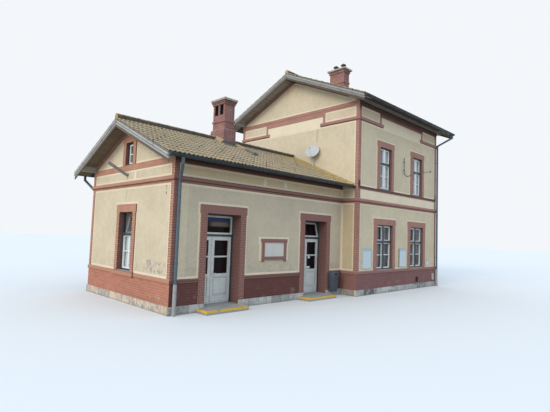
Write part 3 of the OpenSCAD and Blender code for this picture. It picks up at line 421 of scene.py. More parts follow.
@dataclass(frozen=True)
class Brickwork(Finish):
    """Brick with joints in courses; soldier bands stand their bricks on end; painted shade darkens it under
    the eaves and painted shadow lines run under the string courses.
    """

    colour: Colour = (0.425, 0.225, 0.188)
    sunny: Colour = (0.545, 0.28, 0.183)
    shaded: Colour = (0.275, 0.142, 0.12)
    dark: Colour = (0.27, 0.13, 0.11)
    joint: Colour = (0.13, 0.065, 0.055)
    length: float = 0.262
    course: float = 0.077
    gap: float = 0.018
    variety: float = 0.6
    # eaves: levels of painted shade under the eaves; lines: levels and half widths of painted shadow lines
    eaves: tuple[Spot, ...] = ()
    lines: tuple[Spot, ...] = ()
    calm: tuple[Spot, ...] = ()
    relief: float = 0.004
    soldiers: tuple[Spot, ...] = ()
    level: float = 0.89

    def bricks(self, box: Paintbox) -> tuple[Value, Value]:
        """Lays the bricks.

        Args:
            box: the nodes of the finish.

        Returns:
            How much a point lies on a brick rather than in a joint, and one number for each brick.
        """
        along, up = box.facade()
        up = up - self.level
        if self.soldiers:
            stood = box.bands(self.soldiers)
            along, up = box.pick(stood, up, along), box.pick(stood, along, up)
        rise = up / self.course
        row = rise.floor()
        run = along / self.length + row * 0.5
        side = run.fract()
        top = rise.fract()
        near_side = side.least(1 - side) * self.length
        near_top = top.least(1 - top) * self.course
        face = near_side.least(near_top).ease(self.gap * 0.25, self.gap * 0.9)
        return face, box.chance(box.vector(run.floor(), row, 0.0))

    def paint(self, box: Paintbox) -> Surface:
        """Returns the surface of the finish."""
        face, which = self.bricks(box)
        grain = box.noise(60.0, 4.0)
        patches = box.noise(1.3, 4.0).ease(0.36, 0.7)
        calm = box.bands(self.calm, (box.z > PLAN.wing_band - 0.03) * (box.x < PLAN.step - 0.1))
        # painted lit and shaded colours by the way a face turns, then tone, patches and joints
        colour = box.layers(
            box.aspect(self.colour, self.sunny, self.shaded), (which * self.variety * 0.5, self.dark),
            (patches * 0.22, self.dark), ((1 - face) * box.pick(calm, 0.28, 0.75), self.joint),
        )
        colour = box.shade(colour, 1 - calm * 0.08)
        light = 1.04 - (grain - 0.5) * 0.32
        # painted shade under the eaves, on faces towards and away from the platform
        for low, high in self.eaves:
            under = box.z.ease(low, high) * box.z.ease(high + 0.3, high + 0.2)
            light = light * (1 - under * box.fronts() * 0.75)
        # painted shadow lines under the string courses
        for level, half in self.lines:
            light = light * (1 - (box.z - level).size().ease(half * 1.4, half * 0.7) * 0.75)
        relief = face * 0.75 + grain * 0.25
        return Surface(box.shade(colour, light), 0.86, box.bump(relief, self.relief, 0.8), specular=0.3)


@dataclass(frozen=True)
class PlinthBrick(Brickwork):
    """Redder brick of the plinth, bleached and chipped near the ground, with a paler head course."""

    bloom: Colour = (0.46, 0.33, 0.29)
    head: float = 0.888
    # head course colours: plain, painted lit and painted shaded
    head_lit_and_shaded: tuple[Colour, ...] = ((0.33, 0.185, 0.155), (0.44, 0.215, 0.145), (0.20, 0.105, 0.09))
    plain_joint: Colour = (0.15, 0.08, 0.075)
    shaded_joint: Colour = (0.08, 0.035, 0.032)
    marks: tuple[Mark, ...] = ()

    def paint(self, box: Paintbox) -> Surface:
        """Returns the surface of the finish."""
        face, which = self.bricks(box)
        grain = box.noise(55.0, 4.0)
        patches = box.noise(1.7, 4.0).ease(0.36, 0.7)
        salt = box.noise(3.2, 4.0).ease(0.56, 0.74) * box.z.ease(0.95, 0.35)
        # the brick, its head course and its joints take painted lit and shaded colours by the way their faces
        # turn
        colour = box.layers(
            box.aspect(self.colour, self.sunny, self.shaded), (which * self.variety * 0.5, self.dark),
            (patches * 0.2, self.dark), (salt * 0.3, self.bloom),
            ((box.z > self.head) * 0.85, box.aspect(*self.head_lit_and_shaded)),
            ((1 - face) * 0.6, box.aspect(self.plain_joint, self.joint, self.shaded_joint)),
            *box.mark_coats(self.marks),
        )
        light = 1.0 - (grain - 0.5) * 0.35
        relief = face * 0.75 + grain * 0.25
        return Surface(box.shade(colour, light), 0.88, box.bump(relief, self.relief, 0.8), specular=0.25)


@dataclass(frozen=True)
class StackBrick(Brickwork):
    """Bare brick of a chimney under a concrete slab, sooty at its head, with painted shade on its faces
    towards and away from the platform; a stack with flue slots gets soot and painted shade round them and
    painted shade just under the slab.
    """

    top: float = 7.944
    slab: float = 0.082
    slab_colour: Colour = (0.40, 0.36, 0.30)
    lichen: Colour = (0.24, 0.21, 0.16)
    pale: Colour = (0.42, 0.25, 0.20)
    soot: Colour = (0.11, 0.09, 0.08)
    slots: float = 0.0
    slot_half: float = 0.115
    slot_foot: float = 7.275
    slot_head: float = 7.705
    # near-black soot and painted shade round the flue slots
    slot_soot_and_shade: Colour = (0.018, 0.016, 0.016)
    slab_shade: Colour = (0.05, 0.04, 0.04)

    def paint(self, box: Paintbox) -> Surface:
        """Returns the surface of the finish."""
        face, which = self.bricks(box)
        grain = box.noise(48.0, 4.0)
        patches = box.noise(2.6, 4.0).ease(0.4, 0.68)
        soot = box.z.ease(self.top - 0.75, self.top - 0.05) * box.noise(4.0, 3.0).ease(0.3, 0.7)
        # painted shade on the faces towards and away from the platform, then tone, patches, joints and soot
        colour = box.layers(
            self.colour, (box.fronts(), self.shaded), (which * self.variety, self.dark),
            (patches * 0.3, self.pale), ((1 - face) * 0.9, self.joint), (soot * 0.45, self.soot),
        )
        under = self.top - self.slab
        # soot and painted shade widen the dark flue slots; painted shade lies just under the slab
        if self.slots:
            beside = (box.y.size() - self.slots).size().ease(self.slot_half + 0.01, self.slot_half - 0.01)
            height = box.z.ease(self.slot_foot - 0.01, self.slot_foot + 0.01)
            height = height * box.z.ease(self.slot_head + 0.01, self.slot_head - 0.01)
            shade = box.z.ease(under - 0.07, under - 0.03) * 0.55
            colour = box.layers(colour, (beside * height * 0.94, self.slot_soot_and_shade), (shade, self.slab_shade))
        lichen = box.noise(9.0, 4.0).ease(0.45, 0.62)
        colour = box.mix(box.z > under, colour, box.mix(lichen * 0.6, self.slab_colour, self.lichen))
        light = 1.0 - (grain - 0.5) * 0.4
        relief = face * 0.75 + grain * 0.25
        return Surface(box.shade(colour, light), 0.9, box.bump(relief, self.relief, 0.9), specular=0.25)


@dataclass(frozen=True)
class BaseStone(Finish):
    """One course of pale stones of uneven length, with painted shade on the faces towards and away from the
    platform.
    """

    pale: Colour = (0.66, 0.52, 0.39)
    grey: Colour = (0.25, 0.24, 0.225)
    # grey of the painted shade on the faces towards and away from the platform
    front_shade: Colour = (0.46, 0.47, 0.47)
    warm: Colour = (0.50, 0.44, 0.36)
    mud: Colour = (0.20, 0.185, 0.16)
    joint: Colour = (0.13, 0.12, 0.11)
    chipped: tuple[Colour, Colour] = ((0.17, 0.165, 0.16), (0.66, 0.63, 0.58))
    stones: float = 2.1
    marks: tuple[Mark, ...] = ()

    def paint(self, box: Paintbox) -> Surface:
        """Returns the surface of the finish."""
        along, up = box.facade()
        line = {"W": along + (box.noise(5.0, 2.0) - 0.5) * 0.05, "Scale": self.stones}
        flat = {"voronoi_dimensions": "1D"}
        edge = box.node("ShaderNodeTexVoronoi", {**flat, "feature": "DISTANCE_TO_EDGE"}, line)
        which, _, second = box.split(box.node("ShaderNodeTexVoronoi", flat, line, "Color"))
        face = edge.ease(0.004, 0.022)
        grain = box.noise(32.0, 5.0)
        stain = box.noise(3.4, 4.0).ease(0.42, 0.62)
        chips = box.noise(11.0, 5.0).ease(0.52, 0.60)
        chipped = box.mix(second.ease(0.3, 0.6), *self.chipped)
        # painted shade on the faces towards and away from the platform comes first, then tone, stains, chips
        # and mud
        colour = box.layers(
            self.pale, (box.fronts(), self.front_shade), (which.ease(0.45, 0.95) * 0.75, self.grey),
            (second * 0.35, self.warm), (stain * 0.5, self.grey), (chips * 0.45, chipped),
            (up.ease(0.07, 0.0) * 0.5, self.mud), *box.mark_coats(self.marks), ((1 - face) * 0.9, self.joint),
        )
        light = 1.0 - (grain - 0.5) * 0.55
        relief = face * 0.6 + grain * 0.4
        return Surface(box.shade(colour, light), 0.9, box.bump(relief, 0.008, 0.9), specular=0.25)


@dataclass(frozen=True)
class Concrete(Finish):
    """Trodden concrete, with painted edges where a step has them."""

    colour: Colour = (0.36, 0.35, 0.34)
    stained: Colour = (0.25, 0.24, 0.23)
    edge: Colour = (0.78, 0.50, 0.03)
    dull_edge: Colour = (0.60, 0.36, 0.03)
    edge_w: float = 0.0
    doors: tuple[float, ...] = ()
    half: float = 0.82
    front: float = -3.6
    low: float = 0.062

    def paint(self, box: Paintbox) -> Surface:
        """Returns the surface of the finish."""
        grain = box.noise(85.0, 5.0)
        stain = box.noise(2.8, 5.0).ease(0.36, 0.7)
        colour = box.mix(stain * 0.5, self.colour, self.stained)
        if self.edge_w:
            back = self.front + self.edge_w
            line = box.y.ease(back + 0.012, back - 0.004) * box.z.ease(self.low - 0.008, self.low + 0.004)
            for middle in self.doors:
                reach = (box.x - middle).size()
                near = reach > self.half - self.edge_w
                line = line.most(near * (reach < self.half + 0.1) * (box.z > self.low))
            worn = box.noise(14.0, 5.0).ease(0.64, 0.56)
            tone = box.mix(box.noise(7.0, 3.0) * 0.5, self.edge, self.dull_edge)
            colour = box.mix(line * worn, colour, tone)
        light = 1.0 - (grain - 0.5) * 0.35
        return Surface(box.shade(colour, light), 0.85, box.bump(grain, 0.003, 0.6), specular=0.3)


@dataclass(frozen=True)
class RoofTile(Finish):
    """Sand-coloured concrete tiles with grey blotches and yellow lichen, and painted shadow below each tile's
    tail, along its side laps and in dashes at its corners.
    """

    sand: Colour = (0.375, 0.287, 0.183)
    grey: Colour = (0.215, 0.185, 0.135)
    lichen: Colour = (0.42, 0.30, 0.09)
    trailed: Colour = (0.16, 0.145, 0.115)
    clouded: Colour = (0.29, 0.27, 0.21)
    cover: float = 0.3045
    gauge: float = 0.358
    secant: float = 1.0905
    start: float = -8.415
    wall: float = 90.0
    # strength of the painted shadow below the tails and along the side laps
    gap_shadow: float = 0.26

    def paint(self, box: Paintbox) -> Surface:
        """Returns the surface of the finish."""
        down = box.y.size() * self.secant / self.gauge
        run = (box.x - self.start) / self.cover
        which = box.chance(box.vector(run.floor(), down.floor(), box.y > 0.0))
        below = down.fract()
        # painted shadow just below each tile's tail and on the tail's lower edge
        tail = below.ease(0.085, 0.0).most(below.ease(0.965, 0.985))
        side = run.fract()
        near = side.least(1 - side)
        # painted shadow at tile corners, shown in drifting diagonal dashes
        corner = near.ease(0.20, 0.06) * below.ease(0.26, 0.05).most(tail)
        drift = ((box.x + down * self.gauge * 0.92) / 0.78 + box.noise(0.7, 2.0)).fract()
        shadow_dashes = corner * drift.ease(0.26, 0.16) * drift.ease(0.0, 0.06)
        # painted shadow along the side laps
        seam_shadow = near.ease(0.055, 0.015) * below.ease(0.75, 0.2)
        grain = box.noise(120.0, 4.0)
        blotch = box.noise(7.0, 5.0).ease(0.42, 0.62)
        cloud = box.noise(1.1, 4.0).ease(0.38, 0.66)
        trail = box.streaks(4.0, 17.0, 2.2, 2.2).ease(0.46, 0.68)
        near_wall = box.x.ease(self.wall - 1.9, self.wall - 0.1)
        growth = (box.noise(16.0, 5.0) + near_wall * 0.24).ease(0.56, 0.68)
        colour = box.layers(
            self.sand, (which * 0.45, self.grey), (blotch * 0.45, self.grey), (trail * 0.4, self.trailed),
            (cloud * 0.3, self.clouded), (growth * 0.7, self.lichen),
        )
        shadow = (1 - tail.most(seam_shadow) * self.gap_shadow) * (1 - shadow_dashes * 0.88)
        light = (1.10 - (grain - 0.5) * 0.4) * shadow
        return Surface(box.shade(colour, light), 0.92, box.bump(grain, 0.003, 0.6), specular=0.2)


@dataclass(frozen=True)
class RidgeTile(Finish):
    """Weathered caps, ochre at the gables, with painted shade where they sit on the tiles."""

    sand: Colour = (0.34, 0.285, 0.205)
    grey: Colour = (0.17, 0.15, 0.12)
    ochre: Colour = (0.44, 0.31, 0.14)
    ends: tuple[Spot, ...] = ((-8.415, 0.0), (-0.225, 8.0))

    def paint(self, box: Paintbox) -> Surface:
        """Returns the surface of the finish."""
        grain = box.noise(90.0, 4.0)
        colour = box.mix(box.noise(6.0, 5.0).ease(0.40, 0.62) * 0.7, self.sand, self.grey)
        for end, low in self.ends:
            near = (box.x - end).size().ease(0.22, 0.14) * (box.z > low)
            colour = box.mix(near * 0.85, colour, self.ochre)
        # painted shade on the lower sides of the caps, where they sit on the tiles
        foot = box.nz.size().ease(0.72, 0.45) * (box.nx.size() < 0.7)
        light = (1.0 - (grain - 0.5) * 0.4) * (1 - foot * 0.72)
        return Surface(box.shade(colour, light), 0.92, box.bump(grain, 0.003, 0.6), specular=0.2)


@dataclass(frozen=True)
class Timber(Finish):
    """Boards with a grain, as under a roof or on its verge."""

    colour: Colour = (0.26, 0.21, 0.155)
    upper: Colour = (0.44, 0.42, 0.41)
    dark: Colour = (0.13, 0.105, 0.08)
    gap: Colour = (0.03, 0.025, 0.02)
    shadow: Colour = (0.035, 0.024, 0.018)
    board: float = 0.135
    wear: float = 0.5

    def paint(self, box: Paintbox) -> Surface:
        """Returns the surface of the finish."""
        high = (box.z > PLAN.between) * 1.0
        rise = box.y.size() / self.board
        part = rise.fract()
        face = part.least(1 - part).ease(0.02, 0.07)
        which = box.chance(box.vector(rise.floor(), box.y > 0.0, 0.0))
        grain = box.streaks(5.0, 1.5, 24.0, 24.0)
        wall = box.pick(high, PLAN.block, PLAN.wing) + 0.02
        inside = (box.x > box.pick(high, PLAN.step, PLAN.gable)) * (box.x < PLAN.end)
        aged = (which * 0.4 + grain.ease(0.35, 0.75) * self.wear) * 0.8
        colour = box.layers(
            self.colour, (high, self.upper), ((box.y.size() > wall) * inside * 0.9, self.shadow),
            (aged, self.dark), ((1 - face) * 0.9, self.gap),
        )
        return Surface(colour, 0.85, box.bump(face * 0.7 + grain * 0.3, 0.006, 0.8), specular=0.1)


@dataclass(frozen=True)
class VergeBoard(Finish):
    """Grey paint on the verge boards, flaking along the grain."""

    colour: Colour = (0.42, 0.42, 0.41)
    bare: Colour = (0.11, 0.105, 0.10)
    under: Colour = (0.13, 0.10, 0.075)
    painted: float = 0.185
    rise: float = 0.0877

    def paint(self, box: Paintbox) -> Surface:
        """Returns the surface of the finish."""
        grain = box.streaks(5.0, 30.0, 2.2, 5.0)
        flake = box.noise(5.0, 5.0).ease(0.5, 0.68)
        high = box.z > PLAN.between
        apex = box.pick(high, PLAN.block_apex, PLAN.wing_apex) + self.rise
        depth = apex - box.y.size() * PLAN.slope - box.z
        joint, top = ((depth - at).size().ease(0.022, 0.010) for at in (self.painted * 0.55, 0.015))
        colour = box.layers(
            self.colour, (flake * grain.ease(0.35, 0.7) * 0.6, self.bare), ((joint + top) * 0.8, self.bare),
            (depth.ease(self.painted - 0.004, self.painted + 0.004), self.under),
        )
        light = (1.0 - (grain - 0.5) * 0.35) * box.pick(high, 0.80, 1.0)
        return Surface(box.shade(colour, light), 0.75, box.bump(grain, 0.002, 0.5), specular=0.2)


@dataclass(frozen=True)
class SheetMetal(Finish):
    """Painted or bare sheet with blotches and streaks of dirt, and a cast foot where it has one."""

    colour: Colour = (0.055, 0.09, 0.105)
    dirt: Colour = (0.10, 0.09, 0.075)
    dirt_share: float = 0.5
    gloss: float = 0.45
    metal: float = 0.0
    foot: "Colour | None" = None
    rust: Colour = (0.34, 0.15, 0.08)
    foot_top: float = 0.9

    def paint(self, box: Paintbox) -> Surface:
        """Returns the surface of the finish."""
        blotch = box.noise(6.0, 5.0).ease(0.45, 0.7)
        streak = box.streaks(4.0, 22.0, 22.0, 1.8).ease(0.5, 0.72)
        grain = box.noise(90.0, 3.0)
        coats = (blotch * self.dirt_share, self.dirt), (streak * self.dirt_share * 0.8, self.dirt)
        colour = box.layers(self.colour, *coats)
        if self.foot:
            rust = box.noise(5.0, 5.0).ease(0.55, 0.68) * box.z.ease(0.05, 0.5)
            colour = box.mix(box.z < self.foot_top, colour, box.mix(rust * 0.6, self.foot, self.rust))
        light = 1.0 - (grain - 0.5) * 0.12
        roughness = blotch * 0.25 + self.gloss
        return Surface(box.shade(colour, light), roughness, box.bump(grain, 0.0008, 0.4), self.metal, 0.3)


@dataclass(frozen=True)
class Paint(Finish):
    """Paint brushed on joinery, greyed in patches, low down and where it is chipped."""

    colour: Colour = (0.62, 0.64, 0.62)
    worn: Colour = (0.38, 0.37, 0.33)
    wear: float = 0.35
    gloss: float = 0.42

    def paint(self, box: Paintbox) -> Surface:
        """Returns the surface of the finish."""
        brush = box.streaks(4.0, 40.0, 40.0, 3.0)
        grime = box.noise(5.0, 5.0).ease(0.46, 0.7)
        low = box.z.ease(0.55, 0.15) * box.noise(13.0, 4.0).ease(0.35, 0.65)
        chips = box.noise(34.0, 3.0).ease(0.70, 0.76)
        shares = (grime * self.wear, low * 0.45, chips * 0.5)
        colour = box.layers(self.colour, *((share, self.worn) for share in shares))
        light = 1.0 - (brush - 0.5) * 0.14
        return Surface(box.shade(colour, light), grime * 0.2 + self.gloss, box.bump(brush, 0.0008, 0.5))


@dataclass(frozen=True)
class Glass(Finish):
    """Panes painted with what shows in them: the unlit room as painted shade, curtains and a painted
    reflection of the sky.
    """

    # dark is the painted shade of the unlit room; sky is the colour of the painted sky reflection
    dark: Colour = (0.035, 0.022, 0.024)
    cloth: Colour = (0.19, 0.165, 0.17)
    sky: Colour = (0.46, 0.50, 0.51)
    curtain: float = 0.5
    sky_reflection_share: float = 0.2
    shine: float = 0.17
    veil: Colour = (0.56, 0.60, 0.60)
    veiled: float = 1.0
    marks: tuple[Mark, ...] = ()

    def paint(self, box: Paintbox) -> Surface:
        """Returns the surface of the finish."""
        along, up = box.facade()
        sway = box.noise(1.0, 2.0, box.vector(along * 7.0, 0.0, up * 0.5))
        folds = box.noise(1.0, 3.0, box.vector(along * 30.0, 0.0, up * 0.6))
        edge = 0.62 - self.curtain * 0.3
        drawn = sway.ease(edge, edge + 0.08)
        cloud = box.noise(2.2, 3.0, box.vector(box.x, box.y, box.z * 1.4))
        upper = (box.z > PLAN.upper_sill) * (box.x > 0.0)
        gable = (box.x < PLAN.gable + 0.5) * (box.z < 2.25)
        veiled = (upper * drawn.most(0.78)).most(gable * 0.92) * self.veiled
        colour = box.layers(
            self.dark, (drawn, box.shade(self.cloth, folds * 0.9 + 0.35)),
            # painted reflection of the sky in cloudy patches
            (cloud.ease(0.30, 0.62) * self.sky_reflection_share, self.sky),
            # marks paint reflections on a pane where the finish lists them
            (veiled, box.shade(self.veil, folds * 0.35 + 0.83)), *box.mark_coats(self.marks),
        )
        return Surface(colour, 0.06, box.bump(box.noise(3.0, 1.0), 0.002, 0.25), specular=self.shine)


@dataclass(frozen=True)
class PostedSheet(Finish):
    """White sheets behind glass with a pale head band and faint ruled lines."""

    head: Colour = (0.33, 0.50, 0.66)
    sheet: Colour = (0.55, 0.65, 0.68)
    ink: Colour = (0.36, 0.44, 0.48)
    bottom: float = 1.12
    top: float = 1.97
    rules: float = 62.0

    def paint(self, box: Paintbox) -> Surface:
        """Returns the surface of the finish."""
        share = (box.z - self.bottom) / (self.top - self.bottom)
        rule = box.z * self.rules
        words = box.noise(1.0, 2.0, box.vector(box.x * 34.0, 0.0, rule.floor())).ease(0.42, 0.5)
        lines = (rule.fract() < 0.42) * words * share.ease(0.06, 0.09) * share.ease(0.83, 0.80)
        colour = box.layers(self.sheet, (lines * 0.5, self.ink), (share.ease(0.845, 0.855), self.head))
        return Surface(box.shade(colour, box.noise(3.0, 3.0) * 0.2 + 0.9), 0.18, specular=0.45)


def oblong(low: Spot, high: Spot, grow: float = 0.0) -> list[Spot]:
    """Lists the corners of a rectangle, anticlockwise.

    Args:
        low: lower left corner.
        high: upper right corner.
        grow: how far every side moves out.

    Returns:
        The corners.
    """
    left, foot, right, head = low[0] - grow, low[1] - grow, high[0] + grow, high[1] + grow
    return [(left, foot), (right, foot), (right, head), (left, head)]


class Solids:
    """Closed solids collected for one mesh."""

    def __init__(self) -> None:
        """Starts empty."""
        self.bm = bmesh.new()

    def loft(self, rings: list[list[Point]], loop: bool = False) -> None:
        """Joins rings of equal length with quads.

        Args:
            rings: rings of points, one behind the other.
            loop: joins the last ring to the first instead of capping both.
        """
        made = [[self.bm.verts.new(p) for p in ring] for ring in rings]
        count = len(rings[0])
        pairs = list(zip(made, made[1:]))
        if loop:
            pairs.append((made[-1], made[0]))
        for first, second in pairs:
            for i in range(count):
                j = (i + 1) % count
                self.bm.faces.new((first[i], first[j], second[j], second[i]))
        if not loop:
            self.bm.faces.new(made[0][::-1])
            self.bm.faces.new(made[-1])

    def box(self, low: Point, high: Point) -> None:
        """Adds a box between two corners."""
        self.loft([[(x, y, z) for x, y in oblong(low[:2], high[:2])] for z in (low[2], high[2])])

    def stack(self, wall: "WallPlane", outlines: list[tuple[list[Spot], float]], loop: bool = False) -> None:
        """Joins outlines on a wall, each with its distance off the wall."""
        self.loft([[wall.point(u, z, off) for u, z in outline] for outline, off in outlines], loop)

    def plate(self, wall: "WallPlane", outline: list[Spot], back: float, front: float) -> None:
        """Adds a flat plate on a wall, between two distances off it."""
        self.stack(wall, [(outline, back), (outline, front)])

    def rim(self, wall: "WallPlane", outer: list[Spot], inner: list[Spot], back: float, front: float) -> None:
        """Adds a flat ring on a wall between two outlines with as many corners."""
        self.stack(wall, [(outer, back), (outer, front), (inner, front), (inner, back)], loop=True)

    def tube(self, path: list[Point], radius: float, sides: int = 10) -> None:
        """Adds a round bar along a path.

        Args:
            path: points of its middle line.
            radius: its radius.
            sides: faces round it.
        """
        points = [Vector(p) for p in path]
        turns = [2 * math.pi * k / sides for k in range(sides)]
        rings = []
        for i, point in enumerate(points):
            before = points[max(i - 1, 0)]
            after = points[min(i + 1, len(points) - 1)]
            axis = (after - before).normalized()
            aside = (aside - axis * aside.dot(axis) if i else axis.orthogonal()).normalized()
            third = axis.cross(aside)
            rings.append([tuple(point + (aside * math.cos(a) + third * math.sin(a)) * radius) for a in turns])
        self.loft(rings)

    def take(self, mesh: bpy.types.Mesh, matrix: Matrix = Matrix.Identity(4)) -> None:
        """Adds a mesh in its place and drops the original."""
        mesh.transform(matrix)
        self.bm.from_mesh(mesh)
        bpy.data.meshes.remove(mesh)

    def piece(self, name: str, finish: Finish, body: str = "building", replaces: tuple[str, ...] = (),
              smooth: float = 0.0) -> bpy.types.Object:
        """Makes the object, dresses it and lets it ride on a body.

        Args:
            name: name of the piece.
            finish: its finish.
            body: the body that carries it.
            replaces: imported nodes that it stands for.
            smooth: edges flatter than this angle in degrees are shaded smooth.

        Returns:
            The finished piece.
        """
        bmesh.ops.recalc_face_normals(self.bm, faces=self.bm.faces)
        mesh = bpy.data.meshes.new(name)
        self.bm.to_mesh(mesh)
        self.bm.free()
        mesh.polygons.foreach_set("use_smooth", [smooth > 0] * len(mesh.polygons))
        if smooth:
            mesh.set_sharp_from_angle(angle=math.radians(smooth))
        mesh.materials.append(finish.material())
        made = bpy.data.objects.new(name, mesh)
        bpy.context.scene.collection.objects.link(made)
        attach(made, body)
        if replaces:
            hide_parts(*replaces)
        LOG.info("%s: %d faces", name, len(mesh.polygons))
        return made


@dataclass(frozen=True)
class WallPlane:
    """The outer face of a wall that runs along X (axis 0) or along Y (axis 1)."""

    axis: int
    face: float
    out: float

    def point(self, u: float, z: float, off: float) -> Point:
        """Returns the point u along the wall, z up it and off in front of it."""
        across = self.face + self.out * off
        return (u, across, z) if self.axis == 0 else (across, u, z)


@dataclass(frozen=True)
class Opening:
    """An opening: its middle along the wall, clear width, levels and how far its frame is set back."""

    wall: WallPlane
    middle: float
    width: float
    foot: float
    head: float
    set_back: float
    tilted: bool = False


@dataclass(frozen=True)
class Plan:
    """Lines and levels that the pieces share."""

    gable: float = -7.835
    step: float = 0.415
    end: float = 7.835
    wing: float = 3.0
    block: float = 3.8
    slope: float = math.tan(math.radians(23.5))
    angle: float = math.radians(23.5)
    sill: float = 1.03
    head: float = 3.04
    lintel: float = 0.265
    ear: float = 0.03
    string: float = 3.89
    string_top: float = 4.09
    wing_band: float = 4.47
    wing_band_top: float = 4.67
    sill_band: float = 4.50
    upper_sill: float = 4.63
    upper_head: float = 6.57
    panel: float = 7.45
    panel_top: float = 7.62
    frieze: float = 7.92
    cornice: float = 8.08
    cornice_top: float = 8.30
    wing_apex: float = 6.0844
    block_apex: float = 10.1323
    rake: float = 0.1854
    strip: float = 0.15
    jamb: float = 0.235
    slim_jamb: float = 0.205
    doors: tuple[float, float] = (-5.945, -1.325)
    door_w: float = 1.36
    door_set: float = 0.37
    big: float = 1.35
    window: float = 1.0
    attic: float = 0.55
    attic_head: float = 5.46
    front_windows: tuple[float, float] = (2.5898, 5.6602)
    end_windows: tuple[float, float] = (-1.5352, 1.5352)
    set_back: float = 0.065
    gable_set: float = 0.12
    sill_top: float = 0.02
    between: float = 7.2

    def wall(self, name: str) -> WallPlane:
        """Returns the outer face of a wall by its name."""
        return {
            "gable": WallPlane(1, self.gable, -1), "wing_front": WallPlane(0, -self.wing, -1),
            "wing_back": WallPlane(0, self.wing, 1), "side": WallPlane(1, self.step, -1),
            "front": WallPlane(0, -self.block, -1), "back": WallPlane(0, self.block, 1),
            "end": WallPlane(1, self.end, 1),
        }[name]

    def attic_window(self) -> Opening:
        """Returns the window high in the wing's gable."""
        wall, foot, head = self.wall("gable"), self.wing_band_top, self.attic_head
        return Opening(wall, 0.0, self.attic, foot, head, self.set_back)

    def windows(self) -> list[Opening]:
        """Lists the windows of both storeys, the tilted one of the gable first."""
        low, high = self.sill + self.sill_top, self.upper_sill + self.sill_top
        found = [Opening(self.wall("gable"), 0.0, self.window, low, self.head, self.gable_set, True)]
        rows = [("wing_back", self.doors, self.window, low, self.head)]
        for name, middles in BLOCK_WALLS.items():
            rows.append((name, middles, self.big, low, self.head))
            rows.append((name, middles, self.window, high, self.upper_head))
        for name, middles, *sizes in rows:
            found += [Opening(self.wall(name), middle, *sizes, self.set_back) for middle in middles]
        return found


PLAN = Plan()
BLOCK_WALLS = {"front": PLAN.front_windows, "back": PLAN.front_windows, "end": PLAN.end_windows}

GABLE_MARKS = (
    Mark((PLAN.gable, -2.15, 1.30), (0.3, 0.75, 0.22), (0.30, 0.29, 0.27), 0.75, 7.0, 0.46),
    Mark((PLAN.gable, -1.72, 1.42), (0.3, 0.20, 0.14), (0.33, 0.33, 0.34), 0.9, 12.0, 0.55),
    Mark((PLAN.gable, -2.56, 3.76), (0.3, 0.055, 0.075), (0.10, 0.085, 0.06), 1.0, 9.0, 0.62),
    Mark((PLAN.gable, -2.56, 3.58), (0.3, 0.035, 0.05), (0.16, 0.14, 0.11), 1.0, 9.0, 0.62),
    Mark((PLAN.gable, 0.13, 3.95), (0.3, 0.10, 0.75), (0.46, 0.40, 0.31), 0.45, 4.0, 0.75),
    Mark((PLAN.gable, 0.0, 1.2), (0.3, 2.8, 0.2), (0.50, 0.43, 0.33), 0.3, 3.0, 0.5),
)
SIDE_MARKS = (
    Mark((PLAN.step, -1.50, 7.15), (0.3, 0.08, 0.55), (0.40, 0.36, 0.31), 0.5, 4.0, 0.8),
    Mark((PLAN.step, 0.0, 6.0), (0.3, 3.2, 0.5), (0.55, 0.49, 0.38), 0.25, 2.0, 0.5),
    # painted warm light on the block side face in the recess beside the wing front
    Mark((PLAN.step, -3.4, 2.4), (0.3, 0.6, 2.6), (0.62, 0.47, 0.26), 0.5, 2.0, 1.0),
)
BASE_MARKS = (
    Mark((1.35, -PLAN.block, 0.12), (0.75, 0.3, 0.20), (0.12, 0.125, 0.13), 0.95, 5.0, 0.55),
    Mark((5.9, -PLAN.block, 0.14), (0.7, 0.3, 0.2), (0.20, 0.205, 0.21), 0.9, 5.0, 0.55),
    Mark((PLAN.gable, -1.6, 0.10), (0.3, 1.4, 0.12), (0.26, 0.25, 0.24), 0.9, 8.0, 0.42),
    Mark((3.2, -PLAN.block, 0.20), (1.3, 0.3, 0.2), (0.62, 0.62, 0.60), 0.7, 3.0, 0.5),
)
FRONT_MARKS = (
    # painted warm bounce light on the wing front under the eaves
    Mark((-3.7, -PLAN.wing, 4.28), (12.0, 0.3, 0.45), (0.78, 0.58, 0.30), 0.55, 2.0, 1.0),
    # painted shade over the wing front
    Mark((-3.7, -PLAN.wing, 2.2), (12.0, 0.3, 2.8), (0.46, 0.41, 0.33), 0.35, 2.0, 1.0),
    Mark((-3.7, -PLAN.wing, 1.2), (12.0, 0.3, 0.25), (0.42, 0.39, 0.33), 0.35, 3.0, 0.5),
)
PLINTH_MARKS = (
    Mark((PLAN.gable, -2.45, 0.46), (0.3, 0.20, 0.10), (0.66, 0.60, 0.55), 0.95, 16.0, 0.40),
    Mark((PLAN.gable, -2.2, 0.35), (0.3, 0.9, 0.15), (0.47, 0.32, 0.27), 0.5, 7.0, 0.42),
)
DOOR_PANE_REFLECTIONS = (
    # painted reflections in the door panes: beige and blue in door 1's top light, blue patches in door 2's
    # top light and one leaf pane
    Mark((-5.80, -2.6, 2.72), (0.55, 0.3, 0.11), (0.17, 0.14, 0.11), 1.0, 2.0, 1.0),
    Mark((-5.945, -2.6, 2.87), (1.2, 0.3, 0.10), (0.045, 0.06, 0.16), 1.0, 2.0, 1.0),
    Mark((-1.93, -2.6, 2.48), (0.24, 0.3, 0.24), (0.10, 0.13, 0.27), 1.0, 2.0, 1.0),
    Mark((-1.42, -2.6, 1.76), (0.10, 0.3, 0.10), (0.09, 0.10, 0.24), 0.8, 2.0, 1.0),
)
LINTELS = ((3.04, 3.305), (6.57, 6.835))

